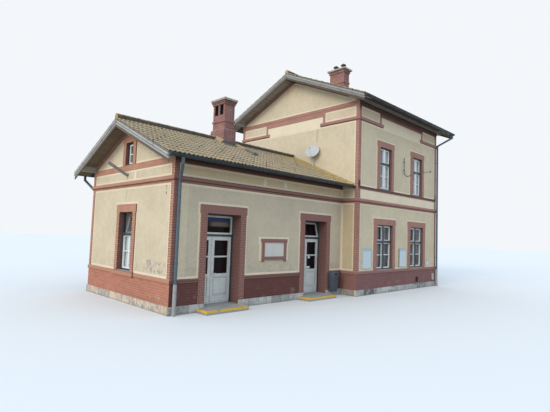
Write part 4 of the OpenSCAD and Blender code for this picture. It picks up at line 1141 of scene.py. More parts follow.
ROUGHCAST = Roughcast("roughcast_cream", "plaster", marks=FRONT_MARKS)
GABLE_ROUGHCAST = Roughcast("roughcast_gable", "plaster", marks=GABLE_MARKS)
SIDE_ROUGHCAST = Roughcast("roughcast_block_side", "plaster", marks=SIDE_MARKS)
SMOOTH = SmoothPlaster("plaster_smooth", "plaster")
PANEL_PLASTER = SmoothPlaster("plaster_panel", "plaster", (0.60, 0.585, 0.545), (0.50, 0.48, 0.44))
DRESSING = Brickwork("brick_dressing", "brick", soldiers=LINTELS, calm=LINTELS)
# BAND paints shade under the eaves and shadow lines under the string courses
BAND = Brickwork("brick_band", "brick", level=0.0, eaves=((4.40, 4.62), (7.80, 8.16)),
                 lines=((3.962, 0.016), (7.46, 0.014)), calm=((3.87, 4.11), (4.48, 4.65), (7.43, 10.2)))
# brick darkened as painted shade, for the reveals and the vent rim
SHADED_BRICK = Brickwork("brick_reveal_shade", "brick", (0.205, 0.105, 0.09), (0.24, 0.115, 0.095), (0.185, 0.095, 0.08))
PLINTH = PlinthBrick("brick_plinth", "brick", (0.25, 0.13, 0.125), (0.47, 0.185, 0.12), (0.128, 0.052, 0.047),
                     (0.17, 0.07, 0.058), (0.46, 0.27, 0.20), marks=PLINTH_MARKS)
WING_STACK = StackBrick(
    "brick_wing_chimney", "chimney_brick", (0.31, 0.125, 0.105), shaded=(0.23, 0.095, 0.10),
    dark=(0.18, 0.07, 0.065), joint=(0.33, 0.24, 0.22), variety=0.8, gap=0.013, level=0.0, slots=0.17,
)
BLOCK_STACK = replace(
    WING_STACK, name="brick_block_chimney", colour=(0.32, 0.13, 0.105), top=11.672, slots=0.0,
)
STONE = BaseStone("base_stone", "base_stone", marks=BASE_MARKS)
CONCRETE = Concrete("concrete_floor", "concrete")
SILL = Concrete("concrete_sill", "concrete", (0.33, 0.30, 0.28))
STEP = Concrete("concrete_step", "concrete", edge_w=0.045, doors=tuple(x - 0.145 for x in PLAN.doors))
WING_TILE = RoofTile("roof_tile_wing", "roof_tile", wall=PLAN.step)
BLOCK_TILE = RoofTile("roof_tile_block", "roof_tile", cover=0.301, gauge=0.349, start=-0.225)
RIDGE_TILE = RidgeTile("roof_tile_ridge", "roof_tile")
OCHRE_MORTAR = Concrete("mortar_ochre", "roof_tile", (0.42, 0.30, 0.13))
LEAD = SheetMetal("lead_flashing", "roof_tile", (0.17, 0.16, 0.15), (0.10, 0.09, 0.08), gloss=0.6)
SOFFIT = Timber("timber_soffit", "roof_timber")
PURLIN = Timber("timber_purlin", "roof_timber", (0.42, 0.41, 0.39), dark=(0.25, 0.24, 0.22), board=9.0)
VERGE = VergeBoard("paint_verge", "roof_timber")
GUTTER = SheetMetal("sheet_gutter", "gutter_sheet", (0.026, 0.040, 0.048), (0.030, 0.028, 0.026))
PIPE = SheetMetal("sheet_pipe", "pipe_sheet", (0.080, 0.120, 0.150), (0.09, 0.09, 0.085), 0.35,
                  foot=(0.33, 0.33, 0.33))
POT = SheetMetal("metal_pot", "pot_metal", (0.07, 0.07, 0.07), (0.14, 0.10, 0.08), gloss=0.6)
FRAME_PAINT = Paint("paint_window_frame", "frame_paint", (0.028, 0.045, 0.055), (0.03, 0.035, 0.035))
WHITE_PAINT = Paint("paint_sash", "white_paint", (0.60, 0.62, 0.60), (0.36, 0.34, 0.30))
SASH_PAINT = Paint("paint_sash_edge", "white_paint", (0.78, 0.81, 0.80), (0.42, 0.41, 0.37), 0.2)
DOOR_PAINT = Paint("paint_door", "white_paint", (0.60, 0.61, 0.575), (0.36, 0.36, 0.32), 0.25)
# dark paint standing for the shade in the door panel grooves
DOOR_SHADE = Paint("paint_door_groove_shade", "white_paint", (0.17, 0.18, 0.18), (0.12, 0.12, 0.11))
DOOR_FRAME = Paint("paint_door_frame", "door_frame_paint", (0.035, 0.055, 0.065), (0.03, 0.03, 0.03))
DOOR_GLASS = Glass(
    "glass_door", "window_pane", (0.012, 0.006, 0.006), (0.03, 0.02, 0.02), (0.03, 0.025, 0.03),
    curtain=0.15, sky_reflection_share=0.10, shine=0.06, veiled=0.0, marks=DOOR_PANE_REFLECTIONS,
)
WINDOW_GLASS = Glass("glass_window", "window_pane")
NOTICE = PostedSheet("notice_sheet", "notice_case")
CASE = SheetMetal("notice_case", "notice_case", (0.52, 0.54, 0.54), (0.35, 0.35, 0.34), gloss=0.35)
LAMP = SheetMetal("lamp_shell", "lamp_shell", (0.30, 0.29, 0.27), (0.17, 0.155, 0.135), gloss=0.5)
DISH = SheetMetal("dish_paint", "dish_paint", (0.50, 0.52, 0.52), (0.45, 0.43, 0.38), 0.3)
GALVANISED = SheetMetal("galvanised", "galvanised", (0.13, 0.155, 0.16), (0.07, 0.07, 0.065), 0.5, 0.5, 0.2)
BIN = SheetMetal("bin_steel", "bin_steel", (0.070, 0.090, 0.125), (0.05, 0.05, 0.05), 0.4)
# near-black sheet of painted shade, in the bin slot and behind the plinth vent
SHADE_SHEET = SheetMetal("shade_gap", "bin_steel", (0.012, 0.012, 0.013), (0.02, 0.02, 0.02), gloss=0.7)
LABEL = Paint("blank_sheet", "notice_case", (0.70, 0.76, 0.78), (0.5, 0.5, 0.5), 0.1)

DRESSED_NODES: dict[Finish, tuple[str, ...]] = {
    ROUGHCAST: (
        "wing_front_wall_left", "wing_front_wall_middle", "wing_front_wall_right", "wing_front_wall_head",
        "wing_back_wall", "block_front_wall", "block_back_wall", "block_end_wall",
    ),
    GABLE_ROUGHCAST: ("wing_gable_wall",),
    SIDE_ROUGHCAST: ("block_side_wall",),
    DRESSING: ("door_surrounds", "ground_surrounds", "upper_surrounds", "wall_panel"),
    BAND: ("string_course", "wing_brick_bands", "block_brick_bands", "block_cornice", "corner_panels"),
    PLINTH: ("brick_plinth",),
    WING_STACK: ("wing_chimney",),
    BLOCK_STACK: ("block_chimney",),
    STONE: ("stone_base",),
    CONCRETE: ("wing_floor", "block_floor", "upper_floor", "attic_floor"),
    SILL: ("window_sills",),
    STEP: ("doorsteps",),
    SOFFIT: ("wing_roof_deck", "block_roof_deck"),
    PURLIN: ("roof_purlins",),
    VERGE: ("bargeboards",),
    GUTTER: ("gutters",),
    PIPE: ("downpipes",),
    POT: ("chimney_pots",),
    FRAME_PAINT: ("window_frames",),
    WHITE_PAINT: ("window_sashes", "door_lights"),
    DOOR_PAINT: ("door_1_wide_leaf", "door_1_narrow_leaf", "door_2_wide_leaf", "door_2_narrow_leaf"),
    DOOR_FRAME: ("door_frames",),
    DOOR_GLASS: ("door_1_wide_glass", "door_1_narrow_glass", "door_2_wide_glass", "door_2_narrow_glass",
                 "door_light_glass"),
    WINDOW_GLASS: ("window_glass",),
    CASE: ("notice_boards",),
    LAMP: ("gable_lamp",),
    DISH: ("satellite_dish",),
    GALVANISED: ("aerial_arm",),
}


def dress_nodes() -> None:
    """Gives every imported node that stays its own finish."""
    for finish, names in DRESSED_NODES.items():
        for name in names:
            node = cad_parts[name]
            node.data.materials.clear()
            node.data.materials.append(finish.material())
            LOG.info("%s: %s", name, finish.name)


class Rows:
    """Geometry Nodes trees that repeat a small mesh in rows."""

    def tree(self, name: str, inputs: dict[str, str]) -> tuple[Graph, Callable[[str], Value]]:
        """Starts a tree with named inputs.

        Args:
            name: name of the tree.
            inputs: names and kinds of the inputs that the trees don't share.

        Returns:
            The graph and the call that gives one of its inputs.
        """
        tree = bpy.data.node_groups.new(name, "GeometryNodeTree")
        kinds = {"Piece": "Object", **inputs, "Jitter": "Float", "Seed": "Int", "Finish": "Material"}
        for label, kind in kinds.items():
            tree.interface.new_socket(label, in_out="INPUT", socket_type="NodeSocket" + kind)
        tree.interface.new_socket("Geometry", in_out="OUTPUT", socket_type="NodeSocketGeometry")
        graph = Graph(tree)
        return graph, graph.node("NodeGroupInput").other

    def close(self, graph: Graph, points: Value, given: Callable[[str], Value]) -> None:
        """Ends a tree: instances on its points, realized, with the finish set.

        Args:
            graph: the graph.
            points: the points.
            given: the call that gives one of its inputs.
        """
        info = graph.node("GeometryNodeObjectInfo", None, {"Object": given("Piece")}, "Geometry")
        turn = given("Jitter")
        back = turn * -1.0
        low, high = graph.vector(back, back, back), graph.vector(turn, turn, turn)
        spread = {"Min": low, "Max": high, "Seed": given("Seed")}
        spin = graph.node("FunctionNodeRandomValue", {"data_type": "FLOAT_VECTOR"}, spread)
        placed = {"Points": points, "Instance": info, "Rotation": spin}
        many = graph.node("GeometryNodeInstanceOnPoints", None, placed)
        real = graph.node("GeometryNodeRealizeInstances", None, {"Geometry": many})
        done = graph.node("GeometryNodeSetMaterial", None, {"Geometry": real, "Material": given("Finish")})
        graph.node("NodeGroupOutput", None, {"Geometry": done})

    def field(self) -> bpy.types.NodeTree:
        """Builds the tree that lays columns and courses, leaving a gap."""
        graph, given = self.tree("tile_field", {
            "Columns": "Int", "Courses": "Int", "Cover": "Float", "Gauge": "Float", "Gap Centre": "Vector",
            "Gap Half": "Vector",
        })
        columns, courses, gauge = given("Columns"), given("Courses"), given("Gauge")
        wide = (columns - 1) * given("Cover")
        deep = (courses - 1) * gauge
        sizes = {"Size X": wide, "Size Y": deep, "Vertices X": columns, "Vertices Y": courses}
        grid = graph.node("GeometryNodeMeshGrid", None, sizes)
        shift = graph.vector(wide / 2, deep / 2 + gauge, 0.0)
        moved = graph.node("GeometryNodeTransform", None, {"Geometry": grid, "Translation": shift})
        place = graph.split(graph.node("GeometryNodeInputPosition"))
        centre = graph.split(given("Gap Centre"))
        half = graph.split(given("Gap Half"))
        inside = ((place[0] - centre[0]).size() < half[0]) * ((place[1] - centre[1]).size() < half[1])
        gap = {"Geometry": moved, "Selection": inside}
        self.close(graph, graph.node("GeometryNodeDeleteGeometry", {"domain": "POINT"}, gap), given)
        return graph.tree

    def line(self) -> bpy.types.NodeTree:
        """Builds the tree that sets pieces in one row."""
        graph, given = self.tree("row_of_pieces", {"Count": "Int", "Start": "Vector", "Step": "Vector"})
        row = {"Count": given("Count"), "Start Location": given("Start"), "Offset": given("Step")}
        self.close(graph, graph.node("GeometryNodeMeshLine", {"mode": "OFFSET"}, row), given)
        return graph.tree

    def run(self, tree: bpy.types.NodeTree, solids: Solids, values: dict) -> bpy.types.Mesh:
        """Runs a tree on one small mesh.

        Args:
            tree: a tree of this class.
            solids: the small mesh that is repeated.
            values: the named inputs.

        Returns:
            The plain mesh.
        """
        bmesh.ops.recalc_face_normals(solids.bm, faces=solids.bm.faces)
        mesh = bpy.data.meshes.new("part")
        solids.bm.to_mesh(mesh)
        solids.bm.free()
        part = bpy.data.objects.new("part", mesh)
        host = bpy.data.objects.new("host", bpy.data.meshes.new("host"))
        for made in (part, host):
            bpy.context.scene.collection.objects.link(made)
        modifier = host.modifiers.new("rows", "NODES")
        modifier.node_group = tree
        for item in tree.interface.items_tree:
            if item.in_out == "INPUT":
                modifier[item.identifier] = part if item.name == "Piece" else values[item.name]
        host.update_tag()
        bpy.context.view_layer.update()
        whole = host.evaluated_get(bpy.context.evaluated_depsgraph_get())
        result = bpy.data.meshes.new_from_object(whole)
        host.modifiers.remove(modifier)
        for made in (part, host):
            bpy.data.objects.remove(made)
        return result


@dataclass
class TiledRoof:
    """Double-roll concrete tiles on both slopes of a roof, on a thin dark bed."""

    name: str
    node: str
    finish: RoofTile
    apex: float
    low_x: float
    high_x: float
    eaves: float
    columns: int
    courses: int
    stack_x: float
    stack_half: Spot
    seed: int
    lap: float = 0.065
    lift: float = 0.032
    joint: float = 0.004
    chamfer: float = 0.012
    jitter: float = 0.006
    gap_down: float = 0.2
    gap_inset: float = 0.14
    bed_foot: float = -0.0645
    bed_top: float = -0.046
    sheet: float = 0.011
    tail: float = 0.024
    profile: tuple[Spot, ...] = (
        (0.0, 0.012), (0.010, 0.024), (0.035, 0.031), (0.058, 0.020), (0.078, 0.006), (0.142, 0.006),
        (0.160, 0.020), (0.185, 0.031), (0.210, 0.020), (0.228, 0.006), (0.297, 0.004),
    )

    @property
    def cover(self) -> float:
        """Width that one tile covers."""
        return (self.high_x - self.low_x) / self.columns

    @property
    def gauge(self) -> float:
        """Length of slope that one course covers."""
        return self.eaves / math.cos(PLAN.angle) / self.courses

    def tile(self, side: float) -> Solids:
        """Makes one tile with its tail at the origin, raised on the course below.

        Args:
            side: -1 mirrors the tile, so that both slopes line up.

        Returns:
            The tile as solids.
        """
        made = Solids()
        rings = []
        length = self.gauge + self.lap
        scale = (self.cover - self.joint) / self.profile[-1][0]
        line = [(self.cover - x * scale if side < 0 else x * scale, z) for x, z in self.profile]
        nose = self.lift - 0.001
        ends = (-length, 0.0, self.sheet), (-self.chamfer, nose, self.tail), (0.0, nose - 0.003, self.tail)
        for y, rise, thick in ends:
            top = [(x, y, z + rise) for x, z in line]
            under = [(x, y, z + rise - thick) for x, z in reversed(line)]
            rings.append(top + under)
        made.loft(rings)
        return made

    def slope(self, side: float) -> Matrix:
        """Returns the matrix of one slope, its origin on the ridge line.

        Args:
            side: -1 for the platform side, 1 for the other.

        Returns:
            The matrix from roof to building.
        """
        cos, sin = math.cos(PLAN.angle), math.sin(PLAN.angle)
        matrix = Matrix(((side, 0, 0), (0, side * cos, -sin), (0, side * sin, cos))).transposed().to_4x4()
        matrix.translation = (self.low_x if side > 0 else self.high_x, 0, self.apex)
        return matrix

    def build(self, rows: Rows, tree: bpy.types.NodeTree) -> None:
        """Lays the tiles of both slopes and the bed below them.

        Args:
            rows: runs the tree.
            tree: the tree of a tile field.
        """
        made = Solids()
        half, reach = self.stack_half
        bed = oblong((0, 0), (self.high_x - self.low_x, self.gauge * self.courses - 0.03))
        for side in (-1.0, 1.0):
            matrix = self.slope(side)
            away = abs(self.stack_x - matrix.translation.x)
            field = rows.run(tree, self.tile(side), {
                "Columns": self.columns, "Courses": self.courses, "Cover": self.cover, "Gauge": self.gauge,
                "Jitter": self.jitter, "Seed": self.seed, "Gap Half": (half - self.gap_inset, reach, 1.0),
                "Gap Centre": (away - self.cover / 2, self.gap_down, 0.0),
                "Finish": self.finish.material(),
            })
            made.take(field, matrix @ Matrix.Translation((0, 0, self.bed_top)))
            made.loft([[tuple(matrix @ Vector((x, y, z))) for x, y in bed]
                       for z in (self.bed_foot, self.bed_top - 0.006)])
        made.piece(self.name, self.finish, replaces=(self.node,))


@dataclass
class RidgeCaps:
    """Half-round caps lapping each other along both ridges, in runs from one X to another at a height."""

    runs: tuple[Point, ...] = (
        (-8.415, -4.20, 6.243), (-3.57, PLAN.step, 6.243), (-0.225, 3.755, 10.291), (4.245, 8.505, 10.291),
    )
    raised: float = 0.012
    length: float = 0.40
    foot: float = -0.12
    jitter: float = 0.008
    collar: tuple[Spot, ...] = ((0.0, 0.112), (0.004, 0.115), (0.045, 0.115), (0.05, 0.110))
    tail: float = 0.107

    def cap(self, length: float) -> Solids:
        """Makes one cap with a collar at its wide end.

        Args:
            length: how far it reaches.

        Returns:
            The cap as solids.
        """
        made = Solids()
        turns = [math.pi * k / 10 for k in range(11)]
        rings = []
        for x, r in (*self.collar, (length, self.tail)):
            arch = [(x, r * math.cos(a), r * math.sin(a)) for a in turns]
            rings.append(arch + [(x, -r, self.foot), (x, r, self.foot)])
        made.loft(rings)
        return made

    def build(self, rows: Rows, tree: bpy.types.NodeTree) -> None:
        """Sets the caps of every run.

        Args:
            rows: runs the tree.
            tree: the tree of a row of pieces.
        """
        made = Solids()
        for seed, (low, high, top) in enumerate(self.runs):
            count = max(round((high - low) / self.length), 1)
            step = (high - low) / count
            made.take(rows.run(tree, self.cap(step - 0.002), {
                "Count": count, "Start": (low, 0.0, top + self.raised), "Step": (step, 0.0, 0.0),
                "Jitter": self.jitter, "Seed": seed, "Finish": RIDGE_TILE.material(),
            }))
        made.piece("ridge_caps", RIDGE_TILE, replaces=("ridge_tiles",), smooth=30)


@dataclass
class GutterFittings:
    """Straps and front bead of the gutters, a pair to each line.

    Each line has its two ends along X, its distance off the ridge and its height.
    """

    lines: tuple[tuple[float, float, float, float], ...] = (
        (-8.375, 0.385, 3.645, 4.5927), (-0.185, 8.465, 4.515, 8.2627),
    )
    radius: float = 0.075
    spacing: float = 0.72
    strap_half: float = 0.014
    strap: Spot = (0.0005, 0.005)
    bead: float = 0.009

    def bent(self, side: float) -> Solids:
        """Makes one strap bent round the gutter, its middle at the origin.

        Args:
            side: -1 for the platform side, 1 for the other.

        Returns:
            The strap as solids.
        """
        made = Solids()
        near, far = (self.radius + off for off in self.strap)
        section = oblong((near, -self.strap_half), (far, self.strap_half))
        turns = [math.pi * k / 8 for k in range(9)]
        made.loft([[(x, -side * r * math.cos(a), -r * math.sin(a)) for r, x in section] for a in turns])
        return made

    def build(self, rows: Rows, tree: bpy.types.NodeTree) -> None:
        """Sets the straps and beads of every gutter.

        Args:
            rows: runs the tree.
            tree: the tree of a row of pieces.
        """
        made = Solids()
        for low, high, away, z in self.lines:
            count = round((high - low) / self.spacing)
            for side in (-1.0, 1.0):
                made.take(rows.run(tree, self.bent(side), {
                    "Count": count, "Start": (low + self.spacing / 2, side * away, z),
                    "Step": ((high - low - self.spacing) / (count - 1), 0.0, 0.0), "Jitter": 0.0,
                    "Seed": 1, "Finish": GUTTER.material(),
                }))
                front = side * (away + self.radius + 0.003)
                made.tube([(low, front, z - 0.002), (high, front, z - 0.002)], self.bead, 8)
        made.piece("gutter_fittings", GUTTER, smooth=35)


@dataclass
class PlasterBorders:
    """Smooth borders round every roughcast field, and the smooth bands."""

    width: float = 0.07
    front: float = 0.004
    back: float = -0.002
    lap: float = 0.1
    wing_fields: tuple[float, float] = (-4.18, -3.14)
    gable_split: float = -0.46
    blind_outer: tuple[Spot, ...] = (
        (-0.725, 1.50), (-0.725, 2.08), (-0.765, 2.08), (-0.765, 2.35), (0.765, 2.35), (0.765, 2.08),
        (0.725, 2.08), (0.725, 1.50), (0.45, 1.50), (0.45, 2.2), (-0.45, 2.2), (-0.45, 1.50),
    )
    blind_half: float = 0.496
    blind_foot: float = 1.651
    blind_head: float = 2.151
    panels: tuple[tuple[str, float], ...] = (("front", 1.63), ("back", 1.63), ("end", 1.85), ("side", 1.85))

    def inset(self, outline: list[Spot]) -> list[Spot]:
        """Moves a left-turning outline inward by the border's width.

        Args:
            outline: corners as [along, up], anticlockwise.

        Returns:
            The inner corners.
        """
        inner = []
        count = len(outline)
        for i in range(count):
            before, here, after = (Vector(outline[k % count]) for k in (i - 1, i, i + 1))
            first = (here - before).normalized()
            second = (after - here).normalized()
            left = Vector((-first.y, first.x))
            other = Vector((-second.y, second.x))
            miter = (left + other) / (1 + left.dot(other))
            inner.append(tuple(here + miter * self.width))
        return inner

    def field(self, wall: WallPlane, outline: list[Spot]) -> None:
        """Borders one field of a wall."""
        self.made.rim(wall, outline, self.inset(outline), self.back, self.front)

    def rect(self, wall: WallPlane, low: Spot, high: Spot) -> None:
        """Borders a rectangular field."""
        self.field(wall, oblong(low, high))

    def band(self, wall: WallPlane, low: Spot, high: Spot) -> None:
        """Covers a rectangle with smooth plaster."""
        self.made.plate(wall, oblong(low, high), self.back, self.front)

    def arch(self, wall: WallPlane, low: Spot, high: Spot) -> None:
        """Borders a rectangular field at its sides and its top."""
        left, right, top = low[0] + self.width, high[0] - self.width, high[1] - self.width
        line = [low, (left, low[1]), (left, top), (right, top), (right, low[1]), (high[0], low[1]), high,
                (low[0], high[1])]
        self.made.plate(wall, line, self.back, self.front)

    def opening(self, wall: WallPlane, middle: float, half: float, foot: float, head: float) -> None:
        """Borders a brick surround that stands on the foot line.

        Args:
            wall: the wall.
            middle: place of the opening along it.
            half: half the width over both jambs.
            foot: level where the border starts.
            head: underside of the lintel.
        """
        jamb = half + self.width
        ear = jamb + PLAN.ear
        top = head + PLAN.lintel + self.width
        low = head - self.width
        inner, over = half - self.lap, head + self.lap
        line = [(-jamb, foot), (-jamb, low), (-ear, low), (-ear, top), (ear, top), (ear, low), (jamb, low),
                (jamb, foot), (inner, foot), (inner, over), (-inner, over), (-inner, foot)]
        self.made.plate(wall, [(middle + u, z) for u, z in line], self.back, self.front + 0.0006)

    def storey(self, wall: WallPlane, low: Spot, high: Spot, middles: tuple[float, ...], half: float,
               head: float) -> None:
        """Borders one storey of a wall, broken by surrounds that stand on its foot line.

        Args:
            wall: the wall.
            low: lower left corner of the field.
            high: upper right corner.
            middles: places of the openings along the wall, from left to right.
            half: half the width of an opening over both jambs.
            head: underside of the lintels.
        """
        self.arch(wall, low, high)
        start = low[0] + self.width
        top = low[1] + self.width
        for middle in middles:
            self.band(wall, (start, low[1]), (middle - half + self.lap, top))
            self.opening(wall, middle, half, low[1], head)
            start = middle + half - self.lap
        self.band(wall, (start, low[1]), (high[0] - self.width, top))

    def span(self, name: str) -> Spot:
        """Returns where the fields of a block wall start and end."""
        if name in ("front", "back"):
            return PLAN.step + PLAN.strip, PLAN.end - PLAN.strip
        return -PLAN.block + PLAN.strip, PLAN.block - PLAN.strip

    def lower_walls(self) -> None:
        """Borders the ground storey."""
        left = PLAN.gable + PLAN.strip
        half_wing = PLAN.wing - PLAN.strip
        slim = PLAN.window / 2 + PLAN.slim_jamb
        marks = (left, *self.wing_fields, PLAN.step)
        for name, half in (("wing_front", PLAN.door_w / 2 + PLAN.jamb), ("wing_back", slim)):
            wall = PLAN.wall(name)
            self.storey(wall, (left, PLAN.sill), (PLAN.step, PLAN.string), PLAN.doors, half, PLAN.head)
            for low, high in zip(marks, marks[1:]):
                self.rect(wall, (low, PLAN.string_top), (high, PLAN.wing_band))
        gable = PLAN.wall("gable")
        self.storey(gable, (-half_wing, PLAN.sill), (half_wing, PLAN.string), (0.0,), slim, PLAN.head)
        for low, high in ((-half_wing, self.gable_split), (self.gable_split, half_wing)):
            self.rect(gable, (low, PLAN.string_top), (high, PLAN.wing_band))
        side = PLAN.wall("side")
        for turn in (-1, 1):
            low, high = sorted((turn * PLAN.wing, turn * (PLAN.block - PLAN.strip)))
            self.rect(side, (low, PLAN.sill), (high, PLAN.string))
            self.rect(side, (low, PLAN.string_top), (high, PLAN.sill_band))
        big = PLAN.big / 2 + PLAN.jamb
        for name, middles in BLOCK_WALLS.items():
            wall = PLAN.wall(name)
            low, high = self.span(name)
            self.storey(wall, (low, PLAN.sill), (high, PLAN.string), middles, big, PLAN.head)
            self.band(wall, (low, PLAN.string_top), (high, PLAN.sill_band))

    def upper_walls(self) -> None:
        """Borders the upper storey and the corner panels of the block."""
        slim = PLAN.window / 2 + PLAN.slim_jamb
        for name, panel in self.panels:
            wall = PLAN.wall(name)
            low, high = self.span(name)
            top = (high, PLAN.panel)
            if name == "side":
                self.arch(wall, (low, PLAN.wing_band_top), top)
            else:
                self.storey(wall, (low, PLAN.upper_sill), top, BLOCK_WALLS[name], slim, PLAN.upper_head)
            reach = panel - PLAN.strip
            self.rect(wall, (low, PLAN.panel_top), (low + reach, PLAN.cornice))
            self.rect(wall, (high - reach, PLAN.panel_top), (high, PLAN.cornice))
            leg = reach + 0.12
            self.band(wall, (low + leg, PLAN.panel + 0.001), (high - leg, PLAN.frieze))

    def gables(self) -> None:
        """Borders the gable triangles."""
        gable = PLAN.wall("gable")
        jamb = PLAN.attic / 2 + PLAN.slim_jamb
        foot = PLAN.wing_band_top
        top = PLAN.wing_apex - PLAN.rake
        reach = (top - foot) / PLAN.slope
        peak = top - jamb * PLAN.slope
        self.field(gable, [(jamb, foot), (reach, foot), (jamb, peak)])
        self.field(gable, [(-reach, foot), (-jamb, foot), (-jamb, peak)])
        foot = PLAN.cornice_top
        top = PLAN.block_apex - PLAN.rake
        reach = (top - foot) / PLAN.slope
        for name in ("side", "end"):
            self.field(PLAN.wall(name), [(-reach, foot), (reach, foot), (0.0, top)])

    def blind_panel(self) -> None:
        """Fills the blind panel and borders it."""
        wall = PLAN.wall("wing_front")
        middle = sum(PLAN.doors) / 2
        self.made.plate(wall, [(middle + u, z) for u, z in self.blind_outer], self.back, self.front)
        field = Solids()
        ends = (middle - self.blind_half, self.blind_foot), (middle + self.blind_half, self.blind_head)
        field.plate(wall, oblong(*ends), 0.009, 0.0135)
        field.piece("blind_panel_field", PANEL_PLASTER)

    def build(self) -> None:
        """Lays every border and band."""
        self.made = Solids()
        self.lower_walls()
        self.upper_walls()
        self.gables()
        self.blind_panel()
        self.made.piece("plaster_borders", SMOOTH)


@dataclass
class RevealLinings:
    """Brick-red faces inside the door and window reveals, darkened as painted shade."""

    skin: float = 0.004
    front: float = 0.0395
    clear: float = 0.001
    step: float = 0.131

    def line(self, gap: Opening, foot: float) -> None:
        """Lines both jambs and the head of one opening.

        Args:
            gap: the opening.
            foot: level where the lining starts.
        """
        half = gap.width / 2
        inner = half - self.skin
        back = self.clear - gap.set_back
        for side in (-1, 1):
            near, far = sorted((gap.middle + side * half, gap.middle + side * inner))
            self.made.plate(gap.wall, oblong((near, foot), (far, gap.head)), back, self.front)
        soffit = oblong((gap.middle - inner, gap.head - self.skin), (gap.middle + inner, gap.head))
        self.made.plate(gap.wall, soffit, back, self.front)

    def build(self) -> None:
        """Lines every opening."""
        self.made = Solids()
        for middle in PLAN.doors:
            door = Opening(PLAN.wall("wing_front"), middle, PLAN.door_w, self.step, PLAN.head, PLAN.door_set)
            self.line(door, door.foot)
        for gap in PLAN.windows():
            self.line(gap, gap.foot + self.clear)
        attic = PLAN.attic_window()
        self.line(attic, attic.foot)
        self.made.piece("reveal_linings", SHADED_BRICK)


@dataclass
class WindowJoinery:
    """White sash edges and glazing bars within the dark window frames."""

    border: float = 0.05
    mullion: float = 0.08
    post: float = 0.11
    post_depth: float = 0.03
    proud: float = 0.006
    transom: float = 0.62
    bar_at: float = 0.52
    edge: float = 0.048
    bar: float = 0.034
    back: float = 0.069
    front: float = 0.020
    closed: float = 0.002

    def light(self, gap: Opening, low: Spot, high: Spot, bars: tuple[float, ...]) -> None:
        """Edges one light and crosses it with level bars.

        Args:
            gap: the opening.
            low: lower left corner of the light.
            high: upper right corner.
            bars: middle levels of its bars.
        """
        back, front = -gap.set_back - self.back, -gap.set_back - self.front
        inner = oblong(low, high, -self.edge)
        self.made.rim(gap.wall, oblong(low, high), inner, back, front)
        half = self.bar / 2
        for z in bars:
            bar = oblong((inner[0][0], z - half), (inner[1][0], z + half))
            self.made.plate(gap.wall, bar, back, front - self.proud)

    def window(self, gap: Opening) -> None:
        """Fills the lights of one window; a tilted one has no mullion and its top light stands open.

        Args:
            gap: the opening.
        """
        rail = gap.foot + (gap.head - gap.foot) * self.transom
        bar = gap.foot + (rail - gap.foot) * self.bar_at
        low, high = gap.foot + self.border, gap.head - self.border
        off = self.proud - gap.set_back
        half = self.post / 2
        side = gap.width / 2 - self.border
        if not gap.tilted:
            upright = self.made if gap.head > PLAN.string_top else self.posts
            post = oblong((gap.middle - half, low), (gap.middle + half, high))
            upright.plate(gap.wall, post, off - self.post_depth, off)
        cross = oblong((gap.middle - side, rail - half), (gap.middle + side, rail + half))
        self.posts.plate(gap.wall, cross, off - self.post_depth, off + self.proud * 2)
        apart = self.closed if gap.tilted else self.mullion / 2
        for left, right in ((-side, -apart), (apart, side)):
            left, right = gap.middle + left, gap.middle + right
            self.light(gap, (left, low), (right, rail - self.mullion / 2), (bar,))
            if not gap.tilted:
                self.light(gap, (left, rail + self.mullion / 2), (right, high), ())

    def build(self) -> None:
        """Fills every window."""
        self.made = Solids()
        self.posts = Solids()
        for gap in PLAN.windows():
            self.window(gap)
        attic = PLAN.attic_window()
        half = attic.width / 2 - self.border
        ends = (-half, attic.foot + self.border), (half, attic.head - self.border)
        self.light(attic, *ends, ((attic.foot + attic.head) / 2,))
        self.made.piece("window_sash_edges", SASH_PAINT)
        self.posts.piece("window_posts", FRAME_PAINT)


